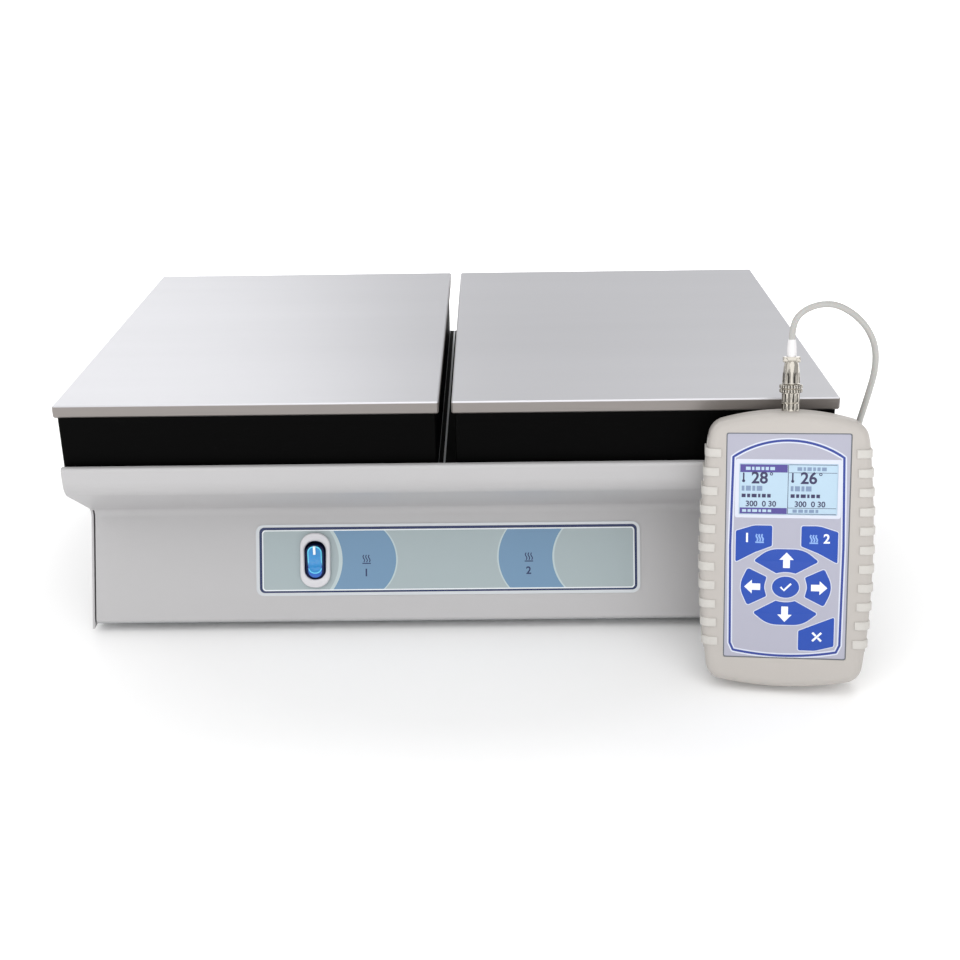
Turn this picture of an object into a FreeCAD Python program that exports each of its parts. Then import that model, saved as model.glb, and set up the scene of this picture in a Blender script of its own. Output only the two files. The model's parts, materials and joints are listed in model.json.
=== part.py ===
import FreeCAD, Part
import math
import os

# Two-section laboratory hot plate with a wired hand controller that leans on its front.
# Millimetres. X runs to the right, Y to the back and Z up. While the pieces are built,
# X = 0 is the middle of the gap between the plates, Y = 0 their front edge and Z = 0 the
# bench. At the end everything is moved so that the origin is the middle of the footprint.

os.makedirs("parts", exist_ok=True)
V = FreeCAD.Vector

# Heating plates and what hangs under them
plateWidth = 210.0
plateDepth = 280.0
plateThick = 7.0
plateGap = 7.0
plateTop = 148.0
plateBevel = 0.8
heaterThick = 2.0
heaterInset = 8.0
clampThick = 1.5
clampInset = 6.0
skirtInset = 1.7
skirtSheet = 1.0
skirtBend = 0.5
insulationGap = 0.4
studRadius = 2.5
studInset = 30.0
studGrip = 4.0
studTail = 9.0
spacerRadius = 5.0
nutFlats = 8.0
nutHeight = 5.0
nutFlange = 5.5
flangeThick = 1.2
wiringRadius = 10.0
wiringBack = 60.0
tabPitch = 10.0
tabSize = (0.8, 6.2, 14.0)
probeRadius = 2.0
probeLength = 30.0
probeGrip = 3.5
cutoutRadius = 8.0
cutoutHeight = 10.0
cutoutShift = 32.0
fitGap = 0.05
looseGap = 0.3

# Casing, folded from sheet
sheet = 1.2
casingInset = 1.8
rearMargin = 3.0
deckDrop = 44.5
deckFlange = 12.0
cornerRelief = 12.0
footHeight = 4.0
seamGap = 0.2
footRadius = 10.0
footInset = 33.7
footFront = 46.0
footBack = 31.0
sideScrewFront = 40.0
sideScrewRear = 33.0
baseScrewFront = 60.0
baseScrewRear = 43.0
rearScrewInset = 51.7
footEdge = 1.5
footRecess = 3.0
screwRadius = 1.9
screwHead = 3.5
screwHeadHeight = 1.9
screwLength = 7.0

# Front apron: hem, lip, sweep and inclined panel
lipDrop = 35.0
lipProud = 4.9
lipDepth = 5.0
lipFace = 8.0
lipCurve = 13.0
hemBend = 1.7
sweepAngle = 33.0
panelTilt = 22.5
panelFoot = 13.7
waistBend = 6.0
panelGap = 1.0
bottomFlange = 12.0

# Control label and rocker switch
labelWidth = 226.0
labelHeight = 42.0
labelThick = 0.5
labelCorner = 4.5
labelCentre = -1.5
labelRise = 36.7
switchInset = 35.1
bezelWidth = 17.8
bezelHeight = 32.2
bezelCorner = 6.6
bezelProud = 3.0
bezelRound = 1.5
wellWidth = 12.4
wellHeight = 22.5
wellCorner = 4.6
wellDepth = 9.0
switchBody = (14.0, 28.0)
switchDepth = 20.0
bladeSize = (6.3, 0.8, 9.0)
rockerWidth = 11.0
rockerHalf = 9.9
rockerCorner = 3.8
rockerCrown = 6.2
rockerDip = 1.3
rockerBevel = 1.0
rockerPivotDepth = 1.5
rockerTilt = 11.0
pivotRadius = 1.0
pivotReach = 0.75

# Rear panel fittings
inletInset = 61.7
inletHeight = 48.0
inletFlange = (59.0, 30.0)
inletPitch = 50.0
inletBody = (33.0, 25.0)
inletWell = (29.0, 21.0)
inletWellDepth = 18.0
inletDepth = 26.0
inletLip = 3.0
inletCorner = 4.0
pinLength = 12.0
pinTail = 14.0
pinSize = (2.0, 8.0)
pinSpread = 6.5
pinRise = 3.5
smallScrew = 1.5
smallHead = 2.8
smallHeadHeight = 1.8
smallLength = 8.0
fusePitch = 24.0
fuseInset = 64.0
fuseRadius = 6.5
fuseCapRadius = 8.5
fuseLength = 30.0
fuseBore = 3.2
fuseFlange = 2.0
fuseCapReach = 10.0
fuseGrip = 1.8
fuseSlot = 1.2
earthInset = 15.7
earthHeight = 26.0
earthRadius = 3.0
earthReach = 16.0
earthTail = 8.0
earthCollar = 5.5
earthCollarThick = 2.5
earthFlats = 10.0
earthNutHeight = 4.0
portInset = 101.7
portHeight = 44.0
portInside = 12.0
portFlats = 14.0
portNutHeight = 2.2
ventSize = (3.0, 34.0)
ventPitch = 9.0
ventCount = 11
baseVentY = 60.0
rearVentInset = 70.0
rearVentZ = 30.0

# Hand controller; its own X is to the right, Y to its back and Z to its top,
# from the middle of the keypad film's recess
bodyDepth = 26.0
sideHalf = 45.1
topHalf = 40.4
topCorner = 64.5
crown = 71.2
heelHalf = 40.2
heelCorner = -72.6
heel = -77.4
cornerRound = 10.0
rimRound = 5.0
shellWall = 2.2
filmWidth = 64.4
filmHeight = 121.6
filmThick = 0.35
filmRecess = 0.8
filmCorner = 1.2
keyRise = 0.2
windowSize = (51.0, 27.6)
windowCentre = (0.2, 30.9)
glassMargin = 1.8
ribCount = 11
ribPitch = 10.2
ribHeight = 4.6
ribProud = 0.8
ribTop = 50.0
ribInner = 38.2
ribDepth = 21.0
bandInset = 1.6
bandReach = 57.0
controllerX = 180.3
controllerYaw = -8.3
controllerLean = 13.6
controllerRoll = -1.9
restGap = 0.25

# Round plug, one at each end of the cable
plugX = 1.2
barrelRadius = 4.65
barrelReach = 9.5
barrelWall = 1.0
barrelSocket = 6.0
barrelFlange = 2.35
barrelFlangeThick = 1.5
ringRadius = 6.1
ringLength = 4.5
ringGroove = 0.6
plugLength = 16.1
plugNeck = 3.6
plugCone = 7.6
clampRound = 0.6
clampScrew = 1.1
clampLength = 2.8
clampHalf = 4.5
sleeveRadius = 2.5
sleeveLength = 9.0

# Cable
cableRadius = 1.7
coilCentre = V(165.0, 312.0, 0)
coilMiddle = 20.0
coilWide = 2
coilHigh = 3


def box(x0, x1, y0, y1, z0, z1):
    return Part.makeBox(x1 - x0, y1 - y0, z1 - z0, V(x0, y0, z0))


def roundedPath(points, radii, closed=False):
    # Straight runs joined by tangent arcs, with one radius for each point
    count = len(points)
    edges = []
    last = None
    first = None
    for i in range(count):
        here = points[i]
        begin = end = here
        middle = None
        if radii[i] > 0 and (closed or 0 < i < count - 1):
            inward = (here - points[i - 1]).normalize()
            outward = (points[(i + 1) % count] - here).normalize()
            half = inward.getAngle(outward) / 2
            reach = radii[i] * math.tan(half)
            begin = here - inward * reach
            end = here + outward * reach
            bisector = (outward - inward).normalize()
            middle = here + bisector * (radii[i] / math.cos(half) - radii[i])
        if last is not None and (begin - last).Length > 1e-6:
            edges.append(Part.LineSegment(last, begin).toShape())
        if middle is not None:
            edges.append(Part.Arc(begin, middle, end).toShape())
        if first is None:
            first = begin
        last = end
    if closed and (first - last).Length > 1e-6:
        edges.append(Part.LineSegment(last, first).toShape())
    return edges


def slab(points, radii, direction):
    # A closed rounded outline pushed along a direction
    return Part.Face(Part.Wire(roundedPath(points, radii, True))).extrude(direction)


def foldedSheet(points, radii, thickness, normal, width):
    # Sheet of one thickness to the left of a folded path, seen against the normal
    count = len(points)
    lefts = [normal.cross((points[i + 1] - points[i]).normalize()) for i in range(count - 1)]
    inner = []
    innerRadii = []
    for i in range(count):
        before = lefts[max(i - 1, 0)]
        after = lefts[min(i, count - 2)]
        inner.append(points[i] + (before + after) * (thickness / (1 + before.dot(after))))
        turn = normal.dot(before.cross(after))
        innerRadii.append(max(radii[i] - thickness, 0.1) if turn > 0 else radii[i] + thickness)
    outerEdges = roundedPath(points, radii)
    innerEdges = roundedPath(inner, innerRadii)
    caps = [Part.LineSegment(points[0], inner[0]).toShape(),
            Part.LineSegment(points[-1], inner[-1]).toShape()]
    outline = Part.Wire(Part.__sortEdges__(outerEdges + innerEdges + caps))
    return Part.Face(outline).extrude(normal * width)


def roundedRect(x0, x1, z0, z1, radius, y0, depth):
    # Upright rounded rectangle, pushed backwards from y0
    points = [V(x0, y0, z0), V(x1, y0, z0), V(x1, y0, z1), V(x0, y0, z1)]
    return slab(points, [radius] * 4, V(0, depth, 0))


def rod(radius, start, direction, length):
    return Part.makeCylinder(radius, length, start, direction)


def tube(outer, inner, start, direction, length):
    return rod(outer, start, direction, length).cut(rod(inner, start, direction, length))


def hexNut(flats, bore, start, direction, length):
    corners = []
    for i in range(7):
        angle = math.radians(60 * i)
        corners.append(V(math.cos(angle), math.sin(angle), 0) * (flats / math.sqrt(3)))
    nut = Part.Face(Part.makePolygon(corners)).extrude(V(0, 0, length))
    nut.Placement = FreeCAD.Placement(start, FreeCAD.Rotation(V(0, 0, 1), direction))
    return nut.cut(rod(bore, start, direction, length))


def panScrew(headRadius, headHeight, shankRadius, shankLength, seat, inward):
    # A domed head outside its seat and a plain shank through it
    head = rod(headRadius, seat, inward * -1, headHeight)
    rim = [edge for edge in head.Edges if isinstance(edge.Curve, Part.Circle)
           and abs((edge.Curve.Center - seat).Length - headHeight) < 1e-6]
    return head.makeFillet(headHeight * 0.6, rim).fuse(rod(shankRadius, seat, inward, shankLength))


def revolved(profile, start, direction):
    # Profile points are (radius, distance along the axis)
    points = [V(r, 0, z) for r, z in profile]
    face = Part.Face(Part.makePolygon(points + points[:1]))
    solid = face.revolve(V(0, 0, 0), V(0, 0, 1), 360)
    solid.Placement = FreeCAD.Placement(start, FreeCAD.Rotation(V(0, 0, 1), direction))
    return solid


up = V(0, 0, 1)
right = V(1, 0, 0)
back = V(0, 1, 0)
pieces = {}

# Heights that follow from the sizes above
plateUnder = plateTop - plateThick
heaterUnder = plateUnder - heaterThick
clampUnder = heaterUnder - clampThick
deckTop = plateTop - deckDrop
deckUnder = deckTop - sheet
skirtFloor = deckTop + skirtSheet
lipTop = plateTop - lipDrop
casingWidth = 2 * (plateWidth - casingInset) + plateGap
halfWidth = casingWidth / 2
sideInner = halfWidth - sheet
casingRear = plateDepth + rearMargin
panUnder = footHeight + sheet
panTop = panUnder + sheet
panelBottom = panTop
rearFront = casingRear - sheet

sides = {"left": -1, "right": 1}


def plateSpan(side):
    # Lowest and highest X of one plate
    near = plateGap / 2
    far = near + plateWidth
    return (-far, -near) if side < 0 else (near, far)


def studPlaces(side):
    x0, x1 = plateSpan(side)
    return [(x, y) for x in (x0 + studInset, x1 - studInset)
            for y in (studInset, plateDepth - studInset)]


def insetBox(side, inset, z0, z1):
    x0, x1 = plateSpan(side)
    return box(x0 + inset, x1 - inset, inset, plateDepth - inset, z0, z1)


def wiringHole(side, z0, z1):
    x0, x1 = plateSpan(side)
    return rod(wiringRadius, V((x0 + x1) / 2, plateDepth - wiringBack, z0), up, z1 - z0)


def centreHole(side, radius, z0, z1):
    x0, x1 = plateSpan(side)
    return rod(radius, V((x0 + x1) / 2, plateDepth / 2, z0), up, z1 - z0)


def cutoutPlace(side):
    x0, x1 = plateSpan(side)
    return (x0 + x1) / 2 + cutoutShift, plateDepth / 2


def heatingPlate(side):
    x0, x1 = plateSpan(side)
    solid = box(x0, x1, 0, plateDepth, plateUnder, plateTop)
    solid = solid.makeChamfer(plateBevel, solid.Edges)
    for x, y in studPlaces(side):
        solid = solid.cut(rod(studRadius, V(x, y, plateUnder), up, studGrip))
    return solid.cut(centreHole(side, probeRadius + fitGap, plateUnder, plateUnder + probeGrip))


def heatingElement(side):
    x0, x1 = plateSpan(side)
    solid = insetBox(side, heaterInset, heaterUnder, plateUnder)
    for x, y in studPlaces(side):
        solid = solid.cut(rod(studRadius + looseGap, V(x, y, heaterUnder), up, heaterThick))
    solid = solid.cut(centreHole(side, probeRadius + looseGap, heaterUnder, plateUnder))
    thin, wide, long = tabSize
    y = plateDepth - wiringBack
    for x in ((x0 + x1 - tabPitch) / 2, (x0 + x1 + tabPitch) / 2):
        tab = box(x - thin / 2, x + thin / 2, y - wide / 2, y + wide / 2, heaterUnder - long, heaterUnder)
        solid = solid.fuse(tab)
    return solid


def clampPlate(side):
    solid = insetBox(side, clampInset, clampUnder, heaterUnder)
    for x, y in studPlaces(side):
        solid = solid.cut(rod(studRadius + looseGap, V(x, y, clampUnder), up, clampThick))
    solid = solid.cut(wiringHole(side, clampUnder, heaterUnder))
    return solid.cut(centreHole(side, probeRadius + looseGap, clampUnder, heaterUnder))


def insulation(side):
    solid = insetBox(side, skirtInset + skirtSheet + insulationGap, skirtFloor, clampUnder)
    for x, y in studPlaces(side):
        solid = solid.cut(rod(spacerRadius + looseGap, V(x, y, skirtFloor), up, clampUnder - skirtFloor))
    solid = solid.cut(wiringHole(side, skirtFloor, clampUnder))
    solid = solid.cut(centreHole(side, probeRadius + looseGap,
                                 plateUnder + probeGrip - probeLength - looseGap, clampUnder))
    x, y = cutoutPlace(side)
    pocket = rod(cutoutRadius + looseGap, V(x, y, clampUnder - cutoutHeight - looseGap), up,
                 cutoutHeight + looseGap)
    return solid.cut(pocket)


def skirt(side):
    # Folded tray with rounded upright corners that touches the plate and the deck
    def shell(inset, z0, radius):
        x0, x1 = plateSpan(side)
        corners = [V(x0 + inset, inset, z0), V(x1 - inset, inset, z0),
                   V(x1 - inset, plateDepth - inset, z0), V(x0 + inset, plateDepth - inset, z0)]
        return slab(corners, [radius] * 4, up * (plateUnder - z0))
    outer = shell(skirtInset, deckTop, skirtBend + skirtSheet)
    solid = outer.cut(shell(skirtInset + skirtSheet, skirtFloor, skirtBend))
    for x, y in studPlaces(side):
        solid = solid.cut(rod(studRadius + looseGap, V(x, y, deckTop), up, skirtSheet))
    return solid.cut(wiringHole(side, deckTop, skirtFloor))


for sideName, side in sides.items():
    pieces[sideName + "_heating_plate"] = heatingPlate(side)
    pieces[sideName + "_heating_element"] = heatingElement(side)
    pieces[sideName + "_clamp_plate"] = clampPlate(side)
    pieces[sideName + "_insulation"] = insulation(side)
    pieces[sideName + "_skirt"] = skirt(side)

allStuds = studPlaces(-1) + studPlaces(1)
studFoot = deckUnder - studTail
studs = []
spacers = []
nuts = []
for x, y in allStuds:
    studs.append(rod(studRadius, V(x, y, studFoot), up, plateUnder + studGrip - studFoot))
    spacers.append(tube(spacerRadius, studRadius + looseGap, V(x, y, skirtFloor), up,
                        clampUnder - skirtFloor))
    nut = hexNut(nutFlats, studRadius + fitGap, V(x, y, deckUnder - nutHeight), up, nutHeight)
    nuts.append(nut.fuse(tube(nutFlange, studRadius + fitGap, V(x, y, deckUnder), up * -1, flangeThick)))
pieces["plate_studs"] = Part.makeCompound(studs)
pieces["plate_spacers"] = Part.makeCompound(spacers)
pieces["stud_nuts"] = Part.makeCompound(nuts)

probes = []
cutouts = []
for side in sides.values():
    x0, x1 = plateSpan(side)
    tip = plateUnder + probeGrip
    probes.append(rod(probeRadius, V((x0 + x1) / 2, plateDepth / 2, tip), up * -1, probeLength))
    x, y = cutoutPlace(side)
    cutouts.append(rod(cutoutRadius, V(x, y, clampUnder), up * -1, cutoutHeight))
pieces["temperature_probes"] = Part.makeCompound(probes)
pieces["thermal_cutouts"] = Part.makeCompound(cutouts)

# Deck sheet with turned-down flanges on three sides
deckHalf = sideInner - seamGap
deckFront = lipDepth - lipProud - sheet
deckRear = rearFront - seamGap
deck = box(-deckHalf, deckHalf, deckFront, deckRear, deckUnder, deckTop)
for x0 in (-deckHalf, deckHalf - sheet):
    deck = deck.fuse(box(x0, x0 + sheet, 2 * cornerRelief, deckRear, deckUnder - deckFlange, deckUnder))
deck = deck.fuse(box(cornerRelief - deckHalf, deckHalf - cornerRelief, deckRear - sheet, deckRear,
                     deckUnder - deckFlange, deckUnder))
for x, y in allStuds:
    deck = deck.cut(rod(studRadius + looseGap, V(x, y, deckUnder), up, sheet))
for side in sides.values():
    deck = deck.cut(wiringHole(side, deckUnder, deckTop))

# Apron path, from the hem behind the lip down to the flange under the casing
sweep = math.radians(sweepAngle)
tilt = math.radians(panelTilt)
lipFront = -lipProud
cornerDrop = lipCurve * math.tan((math.pi / 2 - sweep) / 2)
sweepTop = lipTop - lipFace - cornerDrop
run = panelFoot - lipFront
sweepLength = ((run * math.cos(tilt) + (sweepTop - panelBottom) * math.sin(tilt))
               / (math.cos(sweep) * math.cos(tilt) + math.sin(sweep) * math.sin(tilt)))
waistY = lipFront + sweepLength * math.cos(sweep)
waistZ = sweepTop - sweepLength * math.sin(sweep)
apronPath = [V(0, lipDepth - lipProud, deckTop), V(0, lipDepth - lipProud, lipTop),
             V(0, lipFront, lipTop), V(0, lipFront, sweepTop), V(0, waistY, waistZ),
             V(0, panelFoot, panelBottom), V(0, panelFoot + bottomFlange, panelBottom)]
apronRadii = [0, hemBend, hemBend, lipCurve, waistBend, hemBend, 0]
notchZ = waistZ + 1.0
panelHalf = sideInner - panelGap
panFront = panelFoot + 2 * hemBend


def apronSheet(thickness):
    path = [point - right * halfWidth for point in apronPath]
    return foldedSheet(path, apronRadii, thickness, right, casingWidth)


def onPanel(shape):
    # From a drawing that stands upright at Y = 0 to the inclined panel's outer face
    turned = shape.copy()
    turned.rotate(V(0, 0, 0), right, -panelTilt)
    turned.translate(V(0, panelFoot, panelBottom))
    return turned


apron = apronSheet(sheet)
for x0 in (-halfWidth - 1, panelHalf):
    apron = apron.cut(box(x0, x0 + halfWidth - panelHalf + 1, -lipProud, 2 * waistY, 0, notchZ))
switchCentre = labelCentre - labelWidth / 2 + switchInset
bodyHalf = switchBody[0] / 2
bodyRise = switchBody[1] / 2
switchHole = roundedRect(switchCentre - bodyHalf - looseGap, switchCentre + bodyHalf + looseGap,
                         labelRise - bodyRise - looseGap, labelRise + bodyRise + looseGap, 2.0,
                         -2 * labelThick, 2 * labelThick + 2 * sheet)
apron = apron.cut(onPanel(switchHole))
pieces["front_apron"] = apron

# Side panels: the casing's outline, cut back behind the apron above its notches
sideOutline = [V(0, lipDepth - lipProud, deckTop)] + apronPath[1:5]
sideOutline += [V(0, panelFoot - (panelBottom - footHeight) * math.tan(tilt), footHeight),
                V(0, casingRear, footHeight), V(0, casingRear, deckTop)]
sideRadii = [0, hemBend, hemBend, lipCurve, waistBend, 0, 1.0, 1.0]
behindApron = apronSheet(sheet + seamGap)
behindApron = behindApron.common(box(-halfWidth, halfWidth, -lipProud - 1, casingRear,
                                     notchZ - seamGap, lipTop + 1))
sideScrewEnds = (sideScrewFront, casingRear - sideScrewRear)
sideScrewPlaces = [(y, deckUnder - deckFlange / 2)
                   for y in (sideScrewEnds[0], sum(sideScrewEnds) / 2, sideScrewEnds[1])]
baseScrewEnds = (baseScrewFront, casingRear - baseScrewRear)
baseScrewPlaces = [baseScrewEnds[0], sum(baseScrewEnds) / 2, baseScrewEnds[1]]
casingScrews = []


def casingScrew(seat, inward):
    return panScrew(screwHead, screwHeadHeight, screwRadius, screwLength, seat, inward)


for sideName, side in sides.items():
    x = -halfWidth if side < 0 else sideInner
    outline = [point + right * x for point in sideOutline]
    panel = slab(outline, sideRadii, right * sheet).cut(behindApron)
    x0, x1 = (-sideInner, -sideInner + deckFlange) if side < 0 else (sideInner - deckFlange, sideInner)
    panel = panel.fuse(box(x0, x1, panFront + cornerRelief, rearFront - seamGap, footHeight, panUnder))
    flangeX = side * (sideInner - deckFlange / 2)
    for y, z in sideScrewPlaces:
        hole = rod(screwRadius + looseGap, V(side * (sideInner - 4 * sheet), y, z), right * side, 8 * sheet)
        panel = panel.cut(hole)
        deck = deck.cut(hole)
        casingScrews.append(casingScrew(V(side * halfWidth, y, z), right * -side))
    for y in baseScrewPlaces:
        panel = panel.cut(rod(screwRadius + looseGap, V(flangeX, y, 0), up, panUnder))
        casingScrews.append(casingScrew(V(flangeX, y, footHeight), up))
    pieces[sideName + "_side_panel"] = panel.removeSplitter()

# Base pan with vent slots
panHalf = sideInner - seamGap
pan = box(-panHalf, panHalf, panFront, rearFront - seamGap, panUnder, panTop)
footSide = halfWidth - footInset
footPlaces = [(x, y) for x in (-footSide, footSide) for y in (footFront, casingRear - footBack)]
for x, y in footPlaces:
    pan = pan.cut(rod(screwRadius + fitGap, V(x, y, panUnder), up, sheet))
for side in sides.values():
    for y in baseScrewPlaces:
        flangeX = side * (sideInner - deckFlange / 2)
        pan = pan.cut(rod(screwRadius + looseGap, V(flangeX, y, panUnder), up, sheet))
for i in range(ventCount):
    x = (i - (ventCount - 1) / 2) * ventPitch
    pan = pan.cut(box(x - ventSize[0] / 2, x + ventSize[0] / 2, baseVentY, baseVentY + ventSize[1],
                      panUnder, panTop))

feet = []
bore = screwRadius + looseGap
recess = screwHead + 3 * looseGap
for x, y in footPlaces:
    profile = [(bore, footRecess), (recess, footRecess), (recess, 0), (footRadius - footEdge, 0),
               (footRadius, footEdge), (footRadius, panUnder), (bore, panUnder)]
    feet.append(revolved(profile, V(x, y, 0), up))
    casingScrews.append(casingScrew(V(x, y, footRecess), up))
pieces["rubber_feet"] = Part.makeCompound(feet)

# Rear panel: a flat sheet with a flange on the pan, vents and the sockets' holes
rear = box(-sideInner + seamGap, sideInner - seamGap, rearFront, casingRear, panTop, deckTop)
rear = rear.fuse(box(2 * cornerRelief - sideInner, sideInner - 2 * cornerRelief, rearFront - deckFlange,
                     rearFront, panTop, panTop + sheet))
rearScrewSide = halfWidth - rearScrewInset
rearScrewPlaces = [(x, deckUnder - deckFlange / 2) for x in (-rearScrewSide, 0.0, rearScrewSide)]
for x, z in rearScrewPlaces:
    hole = rod(screwRadius + looseGap, V(x, deckRear - 2 * sheet, z), back, 8 * sheet)
    rear = rear.cut(hole)
    deck = deck.cut(hole)
    casingScrews.append(casingScrew(V(x, casingRear, z), back * -1))
portX = halfWidth - portInset
rearVentX = portX - rearVentInset
for i in range(ventCount):
    x = rearVentX + (i - (ventCount - 1) / 2) * ventPitch
    rear = rear.cut(roundedRect(x - ventSize[0] / 2, x + ventSize[0] / 2, rearVentZ, rearVentZ + ventSize[1],
                                ventSize[0] * 0.45, rearFront, sheet))
pieces["casing_screws"] = Part.makeCompound(casingScrews)
pieces["deck_plate"] = deck

# Mains inlet, screwed to the rear panel; its pins stand short of the mouth
bx, bz = inletBody
wx, wz = inletWell
cx, cz = inletInset - halfWidth, inletHeight
inletMouth = casingRear + inletLip
inlet = roundedRect(cx - inletFlange[0] / 2, cx + inletFlange[0] / 2, cz - inletFlange[1] / 2,
                    cz + inletFlange[1] / 2, inletCorner, casingRear, inletLip)
inlet = inlet.fuse(roundedRect(cx - bx / 2, cx + bx / 2, cz - bz / 2, cz + bz / 2, 2.0,
                               inletMouth - inletDepth, inletDepth - inletLip))
inlet = inlet.cut(roundedRect(cx - wx / 2, cx + wx / 2, cz - wz / 2, cz + wz / 2, 1.5,
                              inletMouth - inletWellDepth, inletWellDepth))
rear = rear.cut(roundedRect(cx - bx / 2 - looseGap, cx + bx / 2 + looseGap, cz - bz / 2 - looseGap,
                            cz + bz / 2 + looseGap, 2.0, rearFront, sheet))
pins = []
thin, tall = pinSize
wellFloor = inletMouth - inletWellDepth
for x, z in ((cx - pinSpread, cz - pinRise), (cx + pinSpread, cz - pinRise), (cx, cz + pinRise)):
    pin = box(x - thin / 2, x + thin / 2, wellFloor - pinTail, wellFloor + pinLength,
              z - tall / 2, z + tall / 2)
    inlet = inlet.cut(pin)
    pins.append(pin)
inletScrews = []
for shift in (-inletPitch / 2, inletPitch / 2):
    hole = rod(smallScrew + looseGap, V(cx + shift, rearFront, cz), back, sheet + inletLip)
    inlet = inlet.cut(hole)
    rear = rear.cut(hole)
    inletScrews.append(panScrew(smallHead, smallHeadHeight, smallScrew, smallLength,
                                V(cx + shift, inletMouth, cz), back * -1))
pieces["mains_inlet"] = inlet
pieces["inlet_pins"] = Part.makeCompound(pins)
pieces["inlet_screws"] = Part.makeCompound(inletScrews)

# Fuse holders with screw caps
holders = []
caps = []
fuseMiddle = cx + fuseInset
for x in (fuseMiddle - fusePitch / 2, fuseMiddle + fusePitch / 2):
    seat = V(x, casingRear, inletHeight)
    neck = fuseRadius - 1.0
    profile = [(0, -fuseLength), (neck, -fuseLength), (neck, -fuseCapReach), (fuseRadius, -fuseCapReach),
               (fuseRadius, 0), (fuseCapRadius, 0), (fuseCapRadius, fuseFlange), (fuseBore, fuseFlange),
               (fuseBore, sheet - fuseLength), (0, sheet - fuseLength)]
    holders.append(revolved(profile, seat, back))
    plugged = fuseBore - fitGap
    cap = revolved([(0, -fuseFlange), (plugged, -fuseFlange), (plugged, fuseFlange),
                    (fuseCapRadius - fuseGrip / 2, fuseFlange),
                    (fuseCapRadius - fuseGrip, fuseCapReach - 1.0),
                    (fuseCapRadius - fuseGrip - 1.0, fuseCapReach), (0, fuseCapReach)], seat, back)
    slotHalf = fuseCapRadius / 2
    slot = box(x - slotHalf, x + slotHalf, casingRear + fuseCapReach - fuseSlot, casingRear + fuseCapReach,
               seat.z - fuseSlot / 2, seat.z + fuseSlot / 2)
    caps.append(cap.cut(slot))
    rear = rear.cut(rod(fuseRadius + looseGap, V(x, rearFront, seat.z), back, sheet))
pieces["fuse_holders"] = Part.makeCompound(holders)
pieces["fuse_caps"] = Part.makeCompound(caps)

# Earth stud: a collar outside the rear panel and its nut inside
earthSeat = V(earthInset - halfWidth, casingRear, earthHeight)
earthStud = rod(earthRadius, earthSeat - back * (sheet + earthTail), back, sheet + earthTail + earthReach)
pieces["earth_stud"] = earthStud.fuse(rod(earthCollar, earthSeat, back, earthCollarThick))
innerSeat = earthSeat - back * sheet
pieces["earth_nut"] = hexNut(earthFlats, earthRadius + fitGap, innerSeat, back * -1, earthNutHeight)
rear = rear.cut(rod(earthRadius + fitGap, innerSeat, back, sheet))


def portBarrel(seat, direction, wall, inside):
    # Panel barrel: a flange behind the wall and a hollow end in front of it
    inner = barrelRadius - barrelWall
    rim = barrelRadius + barrelFlange
    floor = barrelReach - barrelSocket
    profile = [(0, -inside), (barrelRadius, -inside), (barrelRadius, -wall - barrelFlangeThick),
               (rim, -wall - barrelFlangeThick), (rim, -wall), (barrelRadius, -wall),
               (barrelRadius, barrelReach), (inner, barrelReach), (inner, floor), (0, floor)]
    return revolved(profile, seat, direction)


def plugRing(seat, direction):
    # Coupling ring with two ridges and a waist
    bore = barrelRadius + fitGap
    half = ringLength / 2
    low = ringRadius - ringGroove
    profile = [(bore, 0), (low, 0), (ringRadius, ringGroove), (ringRadius, half - ringGroove),
               (low, half), (ringRadius, half + ringGroove), (ringRadius, ringLength - ringGroove),
               (low, ringLength), (bore, ringLength)]
    return revolved(profile, seat + direction * barrelReach, direction)


def plugShell(seat, direction, across):
    # Turned shell that narrows to a cable clamp with two screws
    start = seat + direction * barrelReach
    profile = [(0, 0), (barrelRadius, 0), (barrelRadius, plugLength - plugCone), (plugNeck, plugLength),
               (plugNeck, plugLength + clampRound), (0, plugLength + clampRound)]
    shell = revolved(profile, start, direction)
    thick = 0.8 * plugNeck
    saddle = box(-clampHalf, clampHalf, -thick, thick, plugLength, plugLength + clampLength)
    saddle = saddle.makeFillet(clampRound, saddle.Edges)
    through = direction.cross(across)
    saddle.Placement = FreeCAD.Placement(start, FreeCAD.Rotation(across, through, direction, "ZXY"))
    shell = shell.fuse(saddle)
    reach = thick + clampRound
    for shift in (clampScrew - clampHalf, clampHalf - clampScrew):
        place = start + direction * (plugLength + clampLength / 2) + across * shift
        shell = shell.fuse(rod(clampScrew, place - through * reach, through, 2 * reach))
    return shell


def plugSleeve(seat, direction):
    profile = [(0, 0), (sleeveRadius, 0), (sleeveRadius, 0.7 * sleeveLength),
               (cableRadius + looseGap, sleeveLength), (0, sleeveLength)]
    return revolved(profile, seat + direction * (barrelReach + plugLength + clampLength), direction)


plugEnd = barrelReach + plugLength + clampLength + sleeveLength
portSeat = V(portX, casingRear, portHeight)
pieces["controller_port"] = portBarrel(portSeat, back, sheet, portInside)
pieces["port_nut"] = hexNut(portFlats, barrelRadius + fitGap, portSeat, back, portNutHeight)
pieces["rear_plug_ring"] = plugRing(portSeat, back)
pieces["rear_plug_shell"] = plugShell(portSeat, back, right)
pieces["rear_plug_sleeve"] = plugSleeve(portSeat, back)
rear = rear.cut(rod(barrelRadius + fitGap, portSeat - back * sheet, back, sheet))
pieces["rear_panel"] = rear
pieces["base_pan"] = pan

# Control label on the inclined panel
label = roundedRect(labelCentre - labelWidth / 2, labelCentre + labelWidth / 2, labelRise - labelHeight / 2,
                    labelRise + labelHeight / 2, labelCorner, -labelThick, labelThick)
pieces["control_label"] = onPanel(label.cut(switchHole))

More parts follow.
